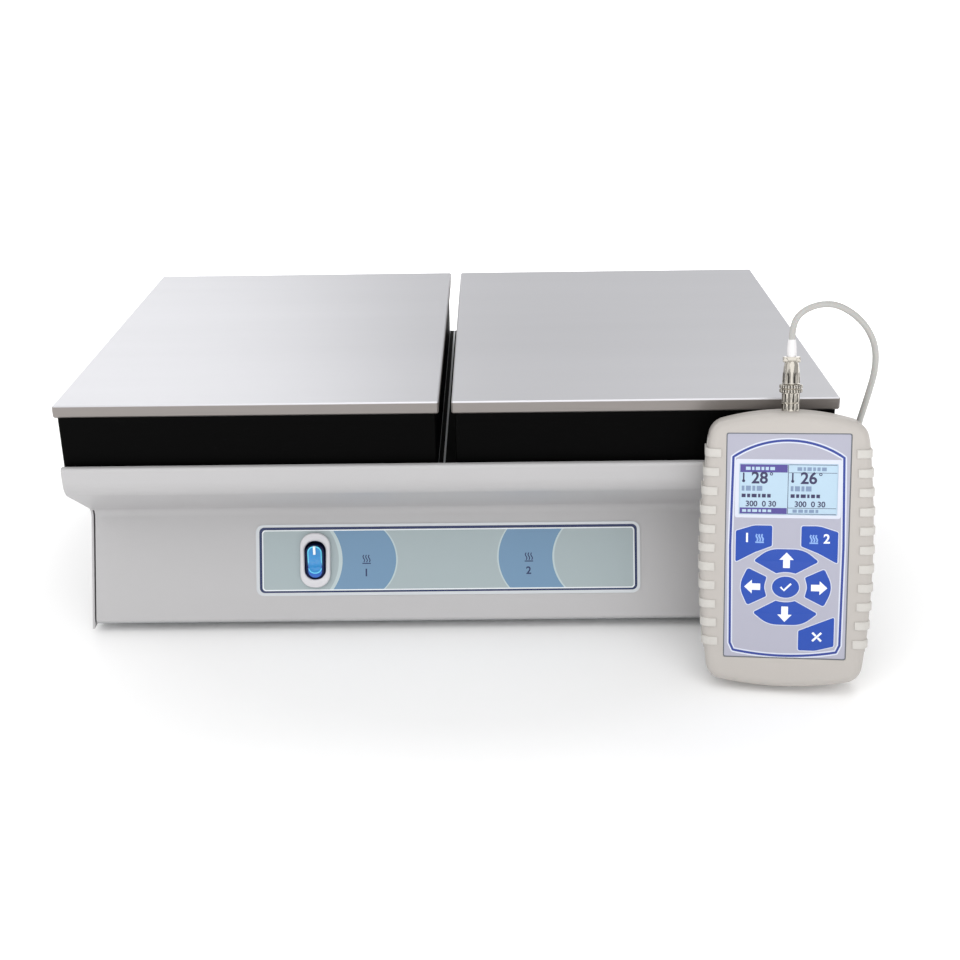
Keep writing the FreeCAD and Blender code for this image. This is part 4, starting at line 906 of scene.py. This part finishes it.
def addGap():
    margin, sink = gap["margin"] * mm, gap["sink"] * mm
    left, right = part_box("left_skirt")[1].x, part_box("right_skirt")[0].x
    front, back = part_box("deck_plate")
    y0, y1, top = front.y + margin, back.y - margin, back.z
    # Top of the sheet of painted shade
    shaded = top + gap["thick"] * mm
    # Painted shade: a black sheet over the deck, which lies in shade between the black skirts
    addPiece("gap_painted_shade", slab((left + margin, y0, top - sink), (right - margin, y1, shaded)), "skirtEnamelAndGapShade",
             "skirt_paint")
    middle, half = left + gap["seamAt"] * (right - left), gap["seam"] / 2 * mm
    addPiece("gap_seam", slab((middle - half, y0, shaded - sink), (middle + half, y1, shaded + gap["seamThick"] * mm)),
             "bareAluminium", "bare_aluminium")


addGap()
print("gap lined")


# ---- fuse caps and earth stud on the rear panel

rearFittings = {  # profiles: radius, height over the panel and depth of flutes
    "fuses": ((-98.0, 48.0), (-74.0, 48.0)),
    "cap": ((7.3, 2.05), (8.2, 2.15), (8.2, 2.95), (7.7, 3.35), (7.6, 3.65, 0.5), (6.9, 8.7, 0.5),
            (6.6, 9.3, 0.2), (5.9, 9.9)),
    "capAround": (96, 24),
    "slot": (8.0, 1.2, 0.2),
    "slotLevels": (9.4, 9.94),
    "stud": (-196.0, 26.0),
    "studFoot": ((2.7, -9.2), (3.0, -8.8), (3.0, 0), (5.2, 0), (5.5, 0.3), (5.5, 2.2), (5.2, 2.5), (3.0, 2.5)),
    "studTip": ((2.9, 15.2), (2.3, 16.0)),
    "studAround": 40,
    "thread": (12, 1.0, 2.8, 3.0, 2.64),  # turns, pitch, first height, outer and inner radius
}


def rearFrameAt(x, z):
    return faceFrame(place(x, screws["rear"], z), (1, 0, 0), (0, 0, -1), (0, 1, 0))


def addRearFittings():
    frames = [rearFrameAt(*at) for at in rearFittings["fuses"]]
    caps = [turned(rearFittings["cap"], frame, *rearFittings["capAround"]) for frame in frames]
    bar = shapeAt(0, 0, *rearFittings["slot"])
    slots = [cutShape(bar, *rearFittings["slotLevels"], frame) for frame in frames]
    addPiece("fluted_fuse_caps", caps, "blackPlastic", "black_plastic", "fuse_caps")
    # Painted shade: flat bars for the shade in the caps' screwdriver slots
    addPiece("fuse_cap_slots", slots, "recessShadeDark", "black_plastic")
    turns, pitch, level, outer, inner = rearFittings["thread"]
    profile = list(rearFittings["studFoot"])
    for i in range(turns):
        profile += [(outer, level + i * pitch), (inner, level + (i + 0.5) * pitch)]
    stud = turned(profile + list(rearFittings["studTip"]), rearFrameAt(*rearFittings["stud"]),
                  rearFittings["studAround"])
    addPiece("threaded_earth_stud", stud, "brass", "brass", "earth_stud")


addRearFittings()
print("rear fittings turned")


# ---- hand controller

hand = {
    "base": (180.3, -44.8326, 80.3578),
    "yaw": -8.3,
    "lean": -13.6,
    "roll": -1.9,
    "depth": 26.0,
    "seam": 0.16,
    "seamAbove": 0.1,  # where the shell is cut to find the seam's line
    "seamEnds": 1.5,
    "seamStep": 2.0,  # degrees
    "seamSunk": 0.75,  # part of its radius
}
stance = Euler((0, 0, math.radians(hand["yaw"]))).to_matrix() @ \
    Euler((math.radians(hand["lean"]), 0, 0)).to_matrix() @ Euler((0, math.radians(hand["roll"]), 0)).to_matrix()
handFrame = faceFrame(place(*hand["base"]), stance @ Vector((1, 0, 0)), stance @ Vector((0, 0, 1)),
                      stance @ Vector((0, -1, 0)))
grip = {
    "ribs": 11,
    "pitch": 10.2,
    "top": 50.0,
    "height": 4.6,
    "soft": (0.55, 4),  # rounding of a rib and its steps
    "proud": 0.8,
    "sunk": 0.9,
    "reach": 7.6,  # from the widest point of the side onto the front
    "rim": 5.0,
    "rimSteps": 10,
    "back": 21.0,
    "sideHalf": 45.1,
    "sideRadius": 535.0,  # curve of the long sides
    "sideMiddle": -4.0,
    "bandInset": 2.2,
    "bandProud": 0.01,
    "bandReach": 56.9,
    "bandSteps": 40,
    "bandFront": 5.0,
}


def sideGrip(side):
    # Ribs that follow the curved side and wrap round its front edge, on a band behind them
    nodes = NodeTree("ribbedGrip", Ribs=grip["ribs"], Pitch=grip["pitch"], Top=grip["top"],
                     RibHeight=grip["height"], RibDepth=grip["proud"] + grip["sunk"], Curve=grip["sideRadius"],
                     Middle=grip["sideMiddle"], Side=float(side), BandReach=grip["bandReach"])

    def followed(count, first, step):
        # Points up the side, each drawn in as far as the side is at its height
        line = nodes.add("MeshLine", {"Count": count, "Start Location": nodes.vector(Y=first),
                                      "Offset": nodes.vector(Y=step)})
        away = nodes.sum("SUBTRACT", nodes.position("Y"), nodes.size("Middle"))
        drawn = nodes.sum("DIVIDE", nodes.sum("MULTIPLY", away, away),
                          nodes.sum("MULTIPLY", nodes.size("Curve"), -2.0))
        return nodes.add("SetPosition", {"Geometry": line, "Offset": nodes.vector(X=drawn)})

    def swept(mesh, section):
        path = nodes.add("MeshToCurve", {"Mesh": mesh})
        return nodes.add("CurveToMesh", {"Curve": path, "Profile Curve": section, "Fill Caps": True})

    def oblongCurve(width, height):
        return nodes.add("CurvePrimitiveQuadrilateral", {"Width": width, "Height": height})

    radius, steps = grip["soft"]
    section = oblongCurve(nodes.size("RibHeight"), nodes.size("RibDepth"))
    soft = nodes.add("FilletCurve", {"Curve": section, "Count": steps, "Radius": radius,
                                     "Limit Radius": True}, mode="POLY")
    column = followed(nodes.size("Ribs"), nodes.size("Top"), nodes.sum("MULTIPLY", nodes.size("Pitch"), -1.0))
    ribs = nodes.add("InstanceOnPoints", {"Points": column,
                                          "Instance": swept(nodes.size("Geometry"), soft)})
    steps = grip["bandSteps"]
    edge = followed(steps + 1, nodes.sum("MULTIPLY", nodes.size("BandReach"), -1.0),
                    nodes.sum("DIVIDE", nodes.size("BandReach"), steps / 2))
    middle = (grip["sideHalf"] - grip["bandInset"] / 2 + grip["bandProud"], 0,
              -(grip["bandFront"] + grip["back"]) / 2)
    run = nodes.add("Transform", {"Geometry": edge, "Translation": middle})
    band = swept(run, oblongCurve(grip["bandInset"], grip["back"] - grip["bandFront"]))
    both = nodes.together("JoinGeometry", 0, (ribs, band))
    mirror = nodes.vector(X=nodes.size("Side"), Y=1.0, Z=1.0)
    sided = nodes.add("Transform", {"Geometry": both, "Scale": mirror})
    # One rib's middle line, from the front round the rim to the back
    out = (grip["proud"] - grip["sunk"]) / 2
    wide, rim, steps = grip["sideHalf"], grip["rim"], grip["rimSteps"]
    line = [(wide - grip["reach"], 0, out)]
    line += [(wide - rim + (rim + out) * math.sin(a), 0, -rim + (rim + out) * math.cos(a))
             for a in [math.pi / 2 * i / steps for i in range(steps + 1)]]
    line += [(wide + out, 0, -grip["back"])]
    return nodes.bake(lineMesh(line), sided, "gripGrey", handFrame)


for side, word in ((1, "right"), (-1, "left")):
    addPiece(word + "_ribbed_grip", sideGrip(side), "gripGrey", "grip_rubber", "controller_%s_grip" % word)
print("grips ribbed")


def mirrored(outline, middle=None):
    # Left to right, or top to bottom about a height
    return [(-x, y) if middle is None else (x, 2 * middle - y) for x, y in outline][::-1]


keypad = {
    "face": -0.45,
    "levels": {"halo": (-0.1, 0.02), "keyEdges": (-0.1, 0.03), "surround": (-0.1, 0.05), "filmShadeLine": (-0.2, 0.02),
               "line": (-0.1, 0.04), "keys": (-0.1, 0.3), "print": (0.26, 0.34), "signs": (0.26, 0.32)},
    "film": (64.24, 121.44),
    # a dark line of painted shade round the film, for the shade at the edge of its recess
    "filmShadeLine": (0.55, 1.2, 0.8),  # width and both radii
    "window": (-25.2, 25.6, 17.3, 44.6),
    "surround": (-27.2, 27.4, 15.6, 46.8),
    "surroundRadii": (1.2, 0.6),
    "frameSide": [(28.4, 47.7), (29.3, 0), (28.7, -52.8), (27.0, -56.6)],
    "frameTop": ((0, 7.0), 49.8, 124.8, 55.2, 30),  # an arc's centre, radius, angles and steps
    "frameFoot": ((0, 80.7), 140.0, -79, -101, 16),
    "line": 1.25,
    "halo": 0.75,
    "keyEdge": 0.55,
    "keyGrowth": 0.04,
    "keySoft": 0.12,
    "middle": -21.7,  # height of the round key and of what lies beside it
    "enter": (7.0, 5.7, 24),  # half width, half height, points on each half
    "shapes": {  # corners and their radii
        "left": ([(-26.4, 8.4), (-17.0, 11.4), (-7.6, 11.4), (-7.6, 0.6), (-16.5, -3.0), (-26.4, -8.4)],
                 [1, 12, 1, 1, 12, 0.6]),
        "side": ([(-19.9, -11.6), (-10.0, -16.4), (-11.4, -21.6), (-10.0, -26.8), (-19.9, -31.8), (-24.6, -21.6)],
                 [1.2, 0.8, 8, 0.8, 1.2, 12]),
        "up": ([(-16.8, -7.6), (-9.0, -1.2), (9.0, -1.2), (16.8, -7.6), (5.0, -14.2), (0, -12.8), (-5.0, -14.2)],
               [0.8, 14, 14, 0.8, 0.8, 16, 0.8]),
        "cancel": ([(7.2, -45.4), (25.6, -37.6), (25.6, -53.4), (16.0, -56.0), (7.2, -56.0)], [0.8, 0.6, 1, 12, 1]),
    },
    "arrow": (8.4, 7.5, 3.5, 0.2),  # length, width, shaft, where its head begins
    "arrows": ((0.2, -7.0, 0), (-0.2, -36.4, 180), (-17.4, -21.7, 90), (17.4, -21.7, -90)),
    "tick": ([(-2.6, -21.6), (-0.9, -23.4), (2.8, -19.7)], 1.0),
    "cross": (16.8, -48.4, 2.3, 1.1, 0.55),  # middle, arm, stroke, and how far two arms stay off the middle
    "figures": ((-20.6, "1"), (20.6, "2")),
    "figure": (4.6, 4.8),
    "signs": ((-14.0, 4.5), (14.0, 4.5)),
    "sign": (4.4, 0.8),
}


def keyOutlines():
    shapes = {name: rounded(*shape) for name, shape in keypad["shapes"].items()}
    wide, high, steps = keypad["enter"]
    middle = keypad["middle"]
    enter = [(wide * math.cos(math.pi * i / steps), middle + high * math.sin(math.pi * i / steps))
             for i in range(2 * steps)]
    return [shapes["left"], mirrored(shapes["left"]), shapes["side"], mirrored(shapes["side"]), shapes["up"],
            mirrored(shapes["up"], middle), enter, shapes["cancel"]]


def frameOutline():
    # The line round the window and the keys, bowed at both ends
    right = keypad["frameSide"]
    left = [(-x, y) for x, y in right]
    return left[:1] + arc(*keypad["frameTop"]) + right + arc(*keypad["frameFoot"]) + left[:0:-1]


def arrow(x, y, turn):
    size, wide, shaft, head = keypad["arrow"]
    points = [(-shaft / 2, -size / 2), (shaft / 2, -size / 2), (shaft / 2, head), (wide / 2, head), (0, size / 2),
              (-wide / 2, head), (-shaft / 2, head)]
    a = math.radians(turn)
    return [(x + px * math.cos(a) - py * math.sin(a), y + px * math.sin(a) + py * math.cos(a)) for px, py in points]


def onKeypad(shapes, kind, soft=0.0):
    return cutAll(shapes, *levels(keypad, kind), handFrame, soft)


def printKeypad():
    keys, line = keyOutlines(), frameOutline()
    wide, halo = keypad["line"] / 2, keypad["line"] / 2 + keypad["halo"]
    outer, inner = keypad["surroundRadii"]
    pale = onKeypad([[grown(line, -halo), grown(line, halo)]], "halo")
    pale += onKeypad([grown(outline, keypad["keyEdge"]) for outline in keys], "keyEdges")
    pale += onKeypad([[panelShape(*keypad["surround"], outer), panelShape(*keypad["window"], inner)]], "surround")
    addPiece("keypad_pale_print", pale, "filmPale", "key_film")
    # Painted shade: a dark line round the film, where the edge of its recess lies in shade
    width, outer, inner = keypad["filmShadeLine"]
    edge = [shapeAt(0, 0, *keypad["film"], outer), shapeAt(0, 0, *keypad["film"], inner + width, width)]
    addPiece("keypad_film_shade_line", onKeypad([edge], "filmShadeLine"), "filmRecessShadeGrey", "key_film")
    addPiece("keypad_frame_line", onKeypad([[grown(line, wide), grown(line, -wide)]], "line"), "filmNavy", "key_film")
    caps = onKeypad([grown(outline, keypad["keyGrowth"]) for outline in keys], "keys", keypad["keySoft"])
    addPiece("keypad_keys", caps, "keyBlue", "key_film")
    x, y, arm, stroke, off = keypad["cross"]
    bars = [((-arm, -arm), (arm, arm)), ((-arm, arm), (-off, off)), ((off, -off), (arm, -arm))]
    shapes = [arrow(*place) for place in keypad["arrows"]] + [ribbon(*keypad["tick"])]
    shapes += [ribbon([(x + a, y + b), (x + c, y + d)], stroke) for (a, b), (c, d) in bars]
    marks = onKeypad(shapes, "print")
    marks += [figure(text, at, *keypad["figure"], *levels(keypad, "print"), handFrame)
              for at, text in keypad["figures"]]
    addPiece("keypad_white_print", marks, "markWhite", "key_film")
    signs = [stroke for at in keypad["signs"] for stroke in waves(*at, *keypad["sign"])]
    addPiece("keypad_heat_signs", onKeypad(signs, "signs"), "keyPale", "key_film")


printKeypad()
print("keypad printed")


def seamLines():
    # The groove between the two halves, drawn where the grips leave it open
    skin = bmesh.new()
    skin.from_mesh(nodes["controller_front_shell"].data)
    bmesh.ops.remove_doubles(skin, verts=skin.verts, dist=1e-6)
    level = handFrame @ Vector((0, 0, hand["seamAbove"] - hand["depth"] / 2))
    out = (handFrame.to_3x3() @ Vector((0, 0, 1))).normalized()
    every = skin.verts[:] + skin.edges[:] + skin.faces[:]
    cut = bmesh.ops.bisect_plane(skin, geom=every, plane_co=level, plane_no=out)["geom_cut"]
    local = handFrame.inverted()
    spots = [(local @ point.co).xy for point in cut if isinstance(point, bmesh.types.BMVert)]
    skin.free()
    wires = []
    for sign in (1, -1):
        lanes = {}
        for spot in spots:
            # The outermost of the points that lie on one ray
            ray = round(math.degrees(math.atan2(spot.x, spot.y * sign)) / hand["seamStep"])
            if spot.y * sign > grip["bandReach"] + hand["seamEnds"] and (
                    ray not in lanes or spot.length > lanes[ray].length):
                lanes[ray] = spot
        line = [lanes[ray] for ray in sorted(lanes)]
        data = newCurve("seam", dimensions="3D", bevel_depth=hand["seam"], bevel_resolution=2, use_fill_caps=True)
        addSpline(data, [(*(spot.normalized() * (spot.length - hand["seamSunk"] * hand["seam"])),
                          -hand["depth"] / 2) for spot in line])
        wires.append(fromCurve(data, handFrame))
    return wires


addPiece("controller_seam", seamLines(), "seamGrey", "controller_plastic")
print("seam drawn")

screen = {
    "face": -0.8,
    "levels": {"dark": (-0.1, 0.03), "pale": (-0.1, 0.05)},
    "columns": (-25.2, 0.1),
    "bars": (-24.7, -0.3, (39.8, 44.0), (17.7, 20.9)),  # from, to, and the heights of each
    "figures": ("28", "26"),
    "figure": (10.6, 36.6, 6.0),
    "smallFigures": ("300  0 30", 11.4, 22.9, 2.9),
    "ring": (16.6, 39.0, 0.85, 0.4),
    "stem": (1.9, 2.7, 35.2, 39.6, 0.3),
    "bulb": (2.3, 35.2, 0.8),
    "lines": ((-0.05, 0.25, 17.7, 44.1), (0.4, 25.1, 39.6, 39.85), (0.4, 25.1, 20.8, 21.05),
              (0.4, 25.1, 43.8, 44.05), (0.4, 25.1, 17.7, 17.95)),
    "words": ((1.4, 2.6, 1.5, 2.9), (2.4, 1.2, 2.2, 1.4, 1.6, 2.4), (2.1, 1.6, 2.6, 1.2, 2.0, 1.8),
              (2.2, 2.4, 1.6, 2.6, 1.4)),
    "space": 0.75,
    "darkRow": (1.4, 26.4, 1.9, 2),  # beside its column's edge, how high, letter height, which words
    "faintRow": (1.4, 29.9, 2.7, 0),
    "paleRows": ((3.4, 41.0, 1.7, 1), (1.8, 18.6, 1.4, 2)),
    "rightRows": ((4.6, 40.8, 1.9, 1), (2.6, 18.5, 1.7, 3)),
}


def dashes(left, aside, y, height, words):
    shapes = []
    x = left + aside
    for width in screen["words"][words]:
        shapes.append(oblong(x, x + width, y, y + height))
        x += width + screen["space"]
    return shapes


def onScreen(shapes, kind="dark"):
    return cutAll(shapes, *levels(screen, kind), handFrame)


def display():
    # Two columns on the glass: a bar, a large number with a thermometer, rows of small marks
    first, last, *heights = screen["bars"]
    addPiece("display_bars", onScreen([oblong(first, last, low, high) for low, high in heights]), "headerInk",
             "display_glass")
    left, right = screen["columns"]
    pale = [mark for row in screen["paleRows"] for mark in dashes(left, *row)]
    addPiece("display_pale_marks", onScreen(pale, "pale"), "glassPale", "display_glass")
    dark, faint = [], []
    for column, number in zip(screen["columns"], screen["figures"]):
        x, y, height = screen["figure"]
        dark.append(figure(number, column + x, y, height, *levels(screen, "dark"), handFrame))
        x, y, outer, inner = screen["ring"]
        x0, x1, *stem = screen["stem"]
        bulbX, bulbY, bulb = screen["bulb"]
        dark += onScreen([[disc((column + x, y), outer), disc((column + x, y), inner)],
                          panelShape(column + x0, column + x1, *stem), disc((column + bulbX, bulbY), bulb)])
        faint += dashes(column, *screen["faintRow"])
        dark += onScreen(dashes(column, *screen["darkRow"]))
        text, x, y, height = screen["smallFigures"]
        dark.append(figure(text, column + x, y, height, *levels(screen, "dark"), handFrame))
    faint += [mark for row in screen["rightRows"] for mark in dashes(right, *row)]
    dark += onScreen([oblong(*line) for line in screen["lines"]])
    addPiece("display_figures", dark, "digitInk", "display_glass")
    addPiece("display_small_marks", onScreen(faint), "digitFaint", "display_glass")


display()
print("display drawn")


# ---- cable, from the controller's plug to the socket on the rear panel

cable = {
    "radius": 1.7,
    "length": 1.33,
    "coilCentre": (165.0, 312.0),
    "coilMiddle": 20.0,
    "joinRadius": 25.3,
    "layers": (1.8, 5.25, 8.65),
    "turnStep": 300,  # degrees from one change of lane to the next
    "change": 30,  # half of the stretch in which it changes lane
    "pointStep": 15,
    "plugTip": (183.4335, -6.7185, 182.8366),
    "plugAxis": (0.0011, 0.2373, 0.9714),
    "straight": 7.2,
    "frontRoute": [(187.2, -4.5, 196.9), (195.8, -4.0, 200.9), (205.2, -3.6, 201.0), (214.6, -2.9, 196.2),
                   (223.0, -2.0, 188.4), (229.2, -0.6, 177.5), (231.0, 0.8, 164.0), (228.6, 2.2, 148.0),
                   (224.5, 3.2, 128.0), (221.2, 3.2, 101.0), (219.7, 2.6, 70.0), (219.5, 2.0, 42.0),
                   (220.5, 5.0, 19.0), (222.0, 16.0, 4.5), (223.5, 36.0, 1.8), (224.0, 76.0, 2.0),
                   (222.0, 131.0, 1.8), (220.5, 188.0, 2.0), (222.0, 240.0, 1.8), (222.5, 275.0, 2.0),
                   (218.0, 299.0, 1.8), (210.0, 315.5, 2.0), (197.5, 327.4, 1.8), (180.0, 337.3, 2.0),
                   (168.0, 337.3, 1.8)],
    "rearRoute": [(162.0, 337.3, 5.3), (154.0, 337.5, 5.5), (141.0, 342.5, 6.6), (129.0, 349.8, 10.2),
                  (119.0, 353.4, 19.0), (113.2, 350.6, 30.5), (110.5, 342.3, 40.3), (110.0, 331.0, 44.0),
                  (110.0, 320.4, 44.0)],
}
plugTip = cable["plugTip"]


def coilPoints():
    # Outer and inner lane of three layers, one after the other, so that no two turns meet
    low, middle, high = cable["layers"]
    join, inner, outer = [cable["joinRadius"]] + [cable["coilMiddle"] + side * cable["radius"] for side in (-1, 1)]
    lanes = [(join, low), (outer, low), (inner, low), (inner, middle), (inner, high), (outer, high),
             (outer, middle), (join, middle)]
    points = []
    for along in range(cable["pointStep"], cable["turnStep"] * (len(lanes) - 2), cable["pointStep"]):
        position = (along + cable["change"]) / cable["turnStep"]
        index = int(position)
        into = min((position - index) * cable["turnStep"] / (2 * cable["change"]), 1)
        share = into * into * (3 - 2 * into)
        radius, height = [a + (b - a) * share for a, b in zip(lanes[index], lanes[index + 1])]
        angle = math.radians(90 + along)
        x, y = cable["coilCentre"]
        points.append((x + radius * math.cos(angle), y + radius * math.sin(angle), height))
    return points


def addCable():
    data = newCurve("cable", dimensions="3D", bevel_depth=cable["radius"] * mm, bevel_resolution=4,
                    resolution_u=5, use_fill_caps=True)
    straight = tuple(p + cable["straight"] * a for p, a in zip(plugTip, cable["plugAxis"]))
    route = [plugTip, straight] + cable["frontRoute"] + coilPoints() + cable["rearRoute"]
    spline = addSpline(data, [place(*at) for at in route], "NURBS")
    spline.order_u = 3
    spline.use_endpoint_u = True
    data.materials.append(paint["cableJacket"])
    piece = bpy.data.objects.new("cable", data)
    bpy.context.scene.collection.objects.link(piece)
    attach(piece, bodyName)
    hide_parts("cable_front", "cable_coil", "cable_rear")
    return piece


# Round plugs and their barrels, one at each end of the cable
plug = {  # profiles: radius, height over the wall and depth of flutes
    "barrel": ((4.65, 0.7), (4.65, 1.0, 0.45), (4.65, 3.6, 0.45), (4.65, 3.9), (4.4, 4.1), (4.4, 4.5), (4.65, 4.7),
               (4.65, 5.0, 0.45), (4.65, 8.9, 0.45), (4.65, 9.1), (4.65, 9.5)),
    "inside": ((4.65, -12.0), 7.0, 1.5),  # inner end, radius and thickness of the flange behind the wall
    "couplingEnds": ((4.7, 9.52), (4.7, 14.02)),
    "couplingHalves": (9.52, 11.77),
    "coupling": ((5.5, 0.05), (6.0, 0.35), (6.1, 0.5, 0.35), (6.1, 1.75, 0.35), (6.0, 1.9), (5.5, 2.2)),
    "body": ((4.45, 14.03), (4.65, 14.23), (4.65, 14.63), (4.65, 15.03, 0.6), (4.5, 18.6, 0.6), (4.4, 19.8, 0.3),
             (4.25, 20.8), (3.85, 24.2), (3.6, 25.1), (3.6, 26.1)),
    "end": 25.6,
    "sleeve": ((2.2, 28.0), (2.5, 28.4), (2.5, 33.35), (2.35, 33.98), (2.3, 34.7), (2.05, 36.86), (1.95, 37.4)),
    "around": {"barrel": (96, 12), "coupling": (144, 24), "body": (96, 8), "sleeve": (36,), "screw": (20,)},
    "clamp": (9.0, 5.8, 2.8, 0.7, 0.35),  # width, depth, height, corners and rounding
    "split": 0.25,
    "screw": ((0.9, -1.0), (0.9, -0.05), (1.15, 0.0), (1.15, 0.35), (0.8, 0.6)),
    "screwInset": 1.2,
    "handAt": (1.2, 71.2, -13.0),
    "walls": {"controller": 2.6, "rear": 1.2},
    "rearAt": (110, 44),
}


def plugClamp(frame):
    across, through, thick, corner, soft = plug["clamp"]
    saddles = []
    for side in (-1, 1):
        y0, y1 = sorted((side * plug["split"], side * through / 2))
        half = panelShape(-across / 2, across / 2, y0, y1, corner)
        saddles.append(cutShape(half, 0, thick, frame, soft))
        for x in (-across / 2 + plug["screwInset"], across / 2 - plug["screwInset"]):
            head = frame @ Matrix.Translation((x, side * through / 2, thick / 2)) @ Matrix.Rotation(
                -side * math.pi / 2, 4, "X")
            saddles.append(turned(plug["screw"], head, *plug["around"]["screw"]))
    return saddles


def addPlug(word, frame, port):
    def shape(kind, profile):
        return turned(profile, frame, *plug["around"][kind])

    first, flange, thick = plug["inside"]
    radius, wall = first[0], plug["walls"][word]
    inside = (first, (radius, -wall - thick), (flange, -wall - thick), (flange, -wall), (radius, -wall))
    begin, end = plug["couplingEnds"]
    halves = tuple((wide, start + height, *cut) for start in plug["couplingHalves"]
                   for wide, height, *cut in plug["coupling"])
    addPiece(word + "_barrel", shape("barrel", inside + plug["barrel"]), "nickel", "nickel", port)
    addPiece(word + "_plug_coupling", shape("coupling", (begin,) + halves + (end,)), "nickel", "nickel",
             word + "_plug_ring")
    body = [shape("body", plug["body"])] + plugClamp(frame @ Matrix.Translation((0, 0, plug["end"])))
    addPiece(word + "_plug_body", body, "nickel", "nickel", word + "_plug_shell")
    addPiece(word + "_cable_sleeve", shape("sleeve", plug["sleeve"]), "sleeveWhite", "cable_jacket",
             word + "_plug_sleeve")


cablePiece = addCable()
addPlug("controller", handFrame @ Matrix.Translation(plug["handAt"]) @ Matrix.Rotation(-math.pi / 2, 4, "X"),
        "controller_socket")
addPlug("rear", rearFrameAt(*plug["rearAt"]), "controller_port")
print("cable laid")
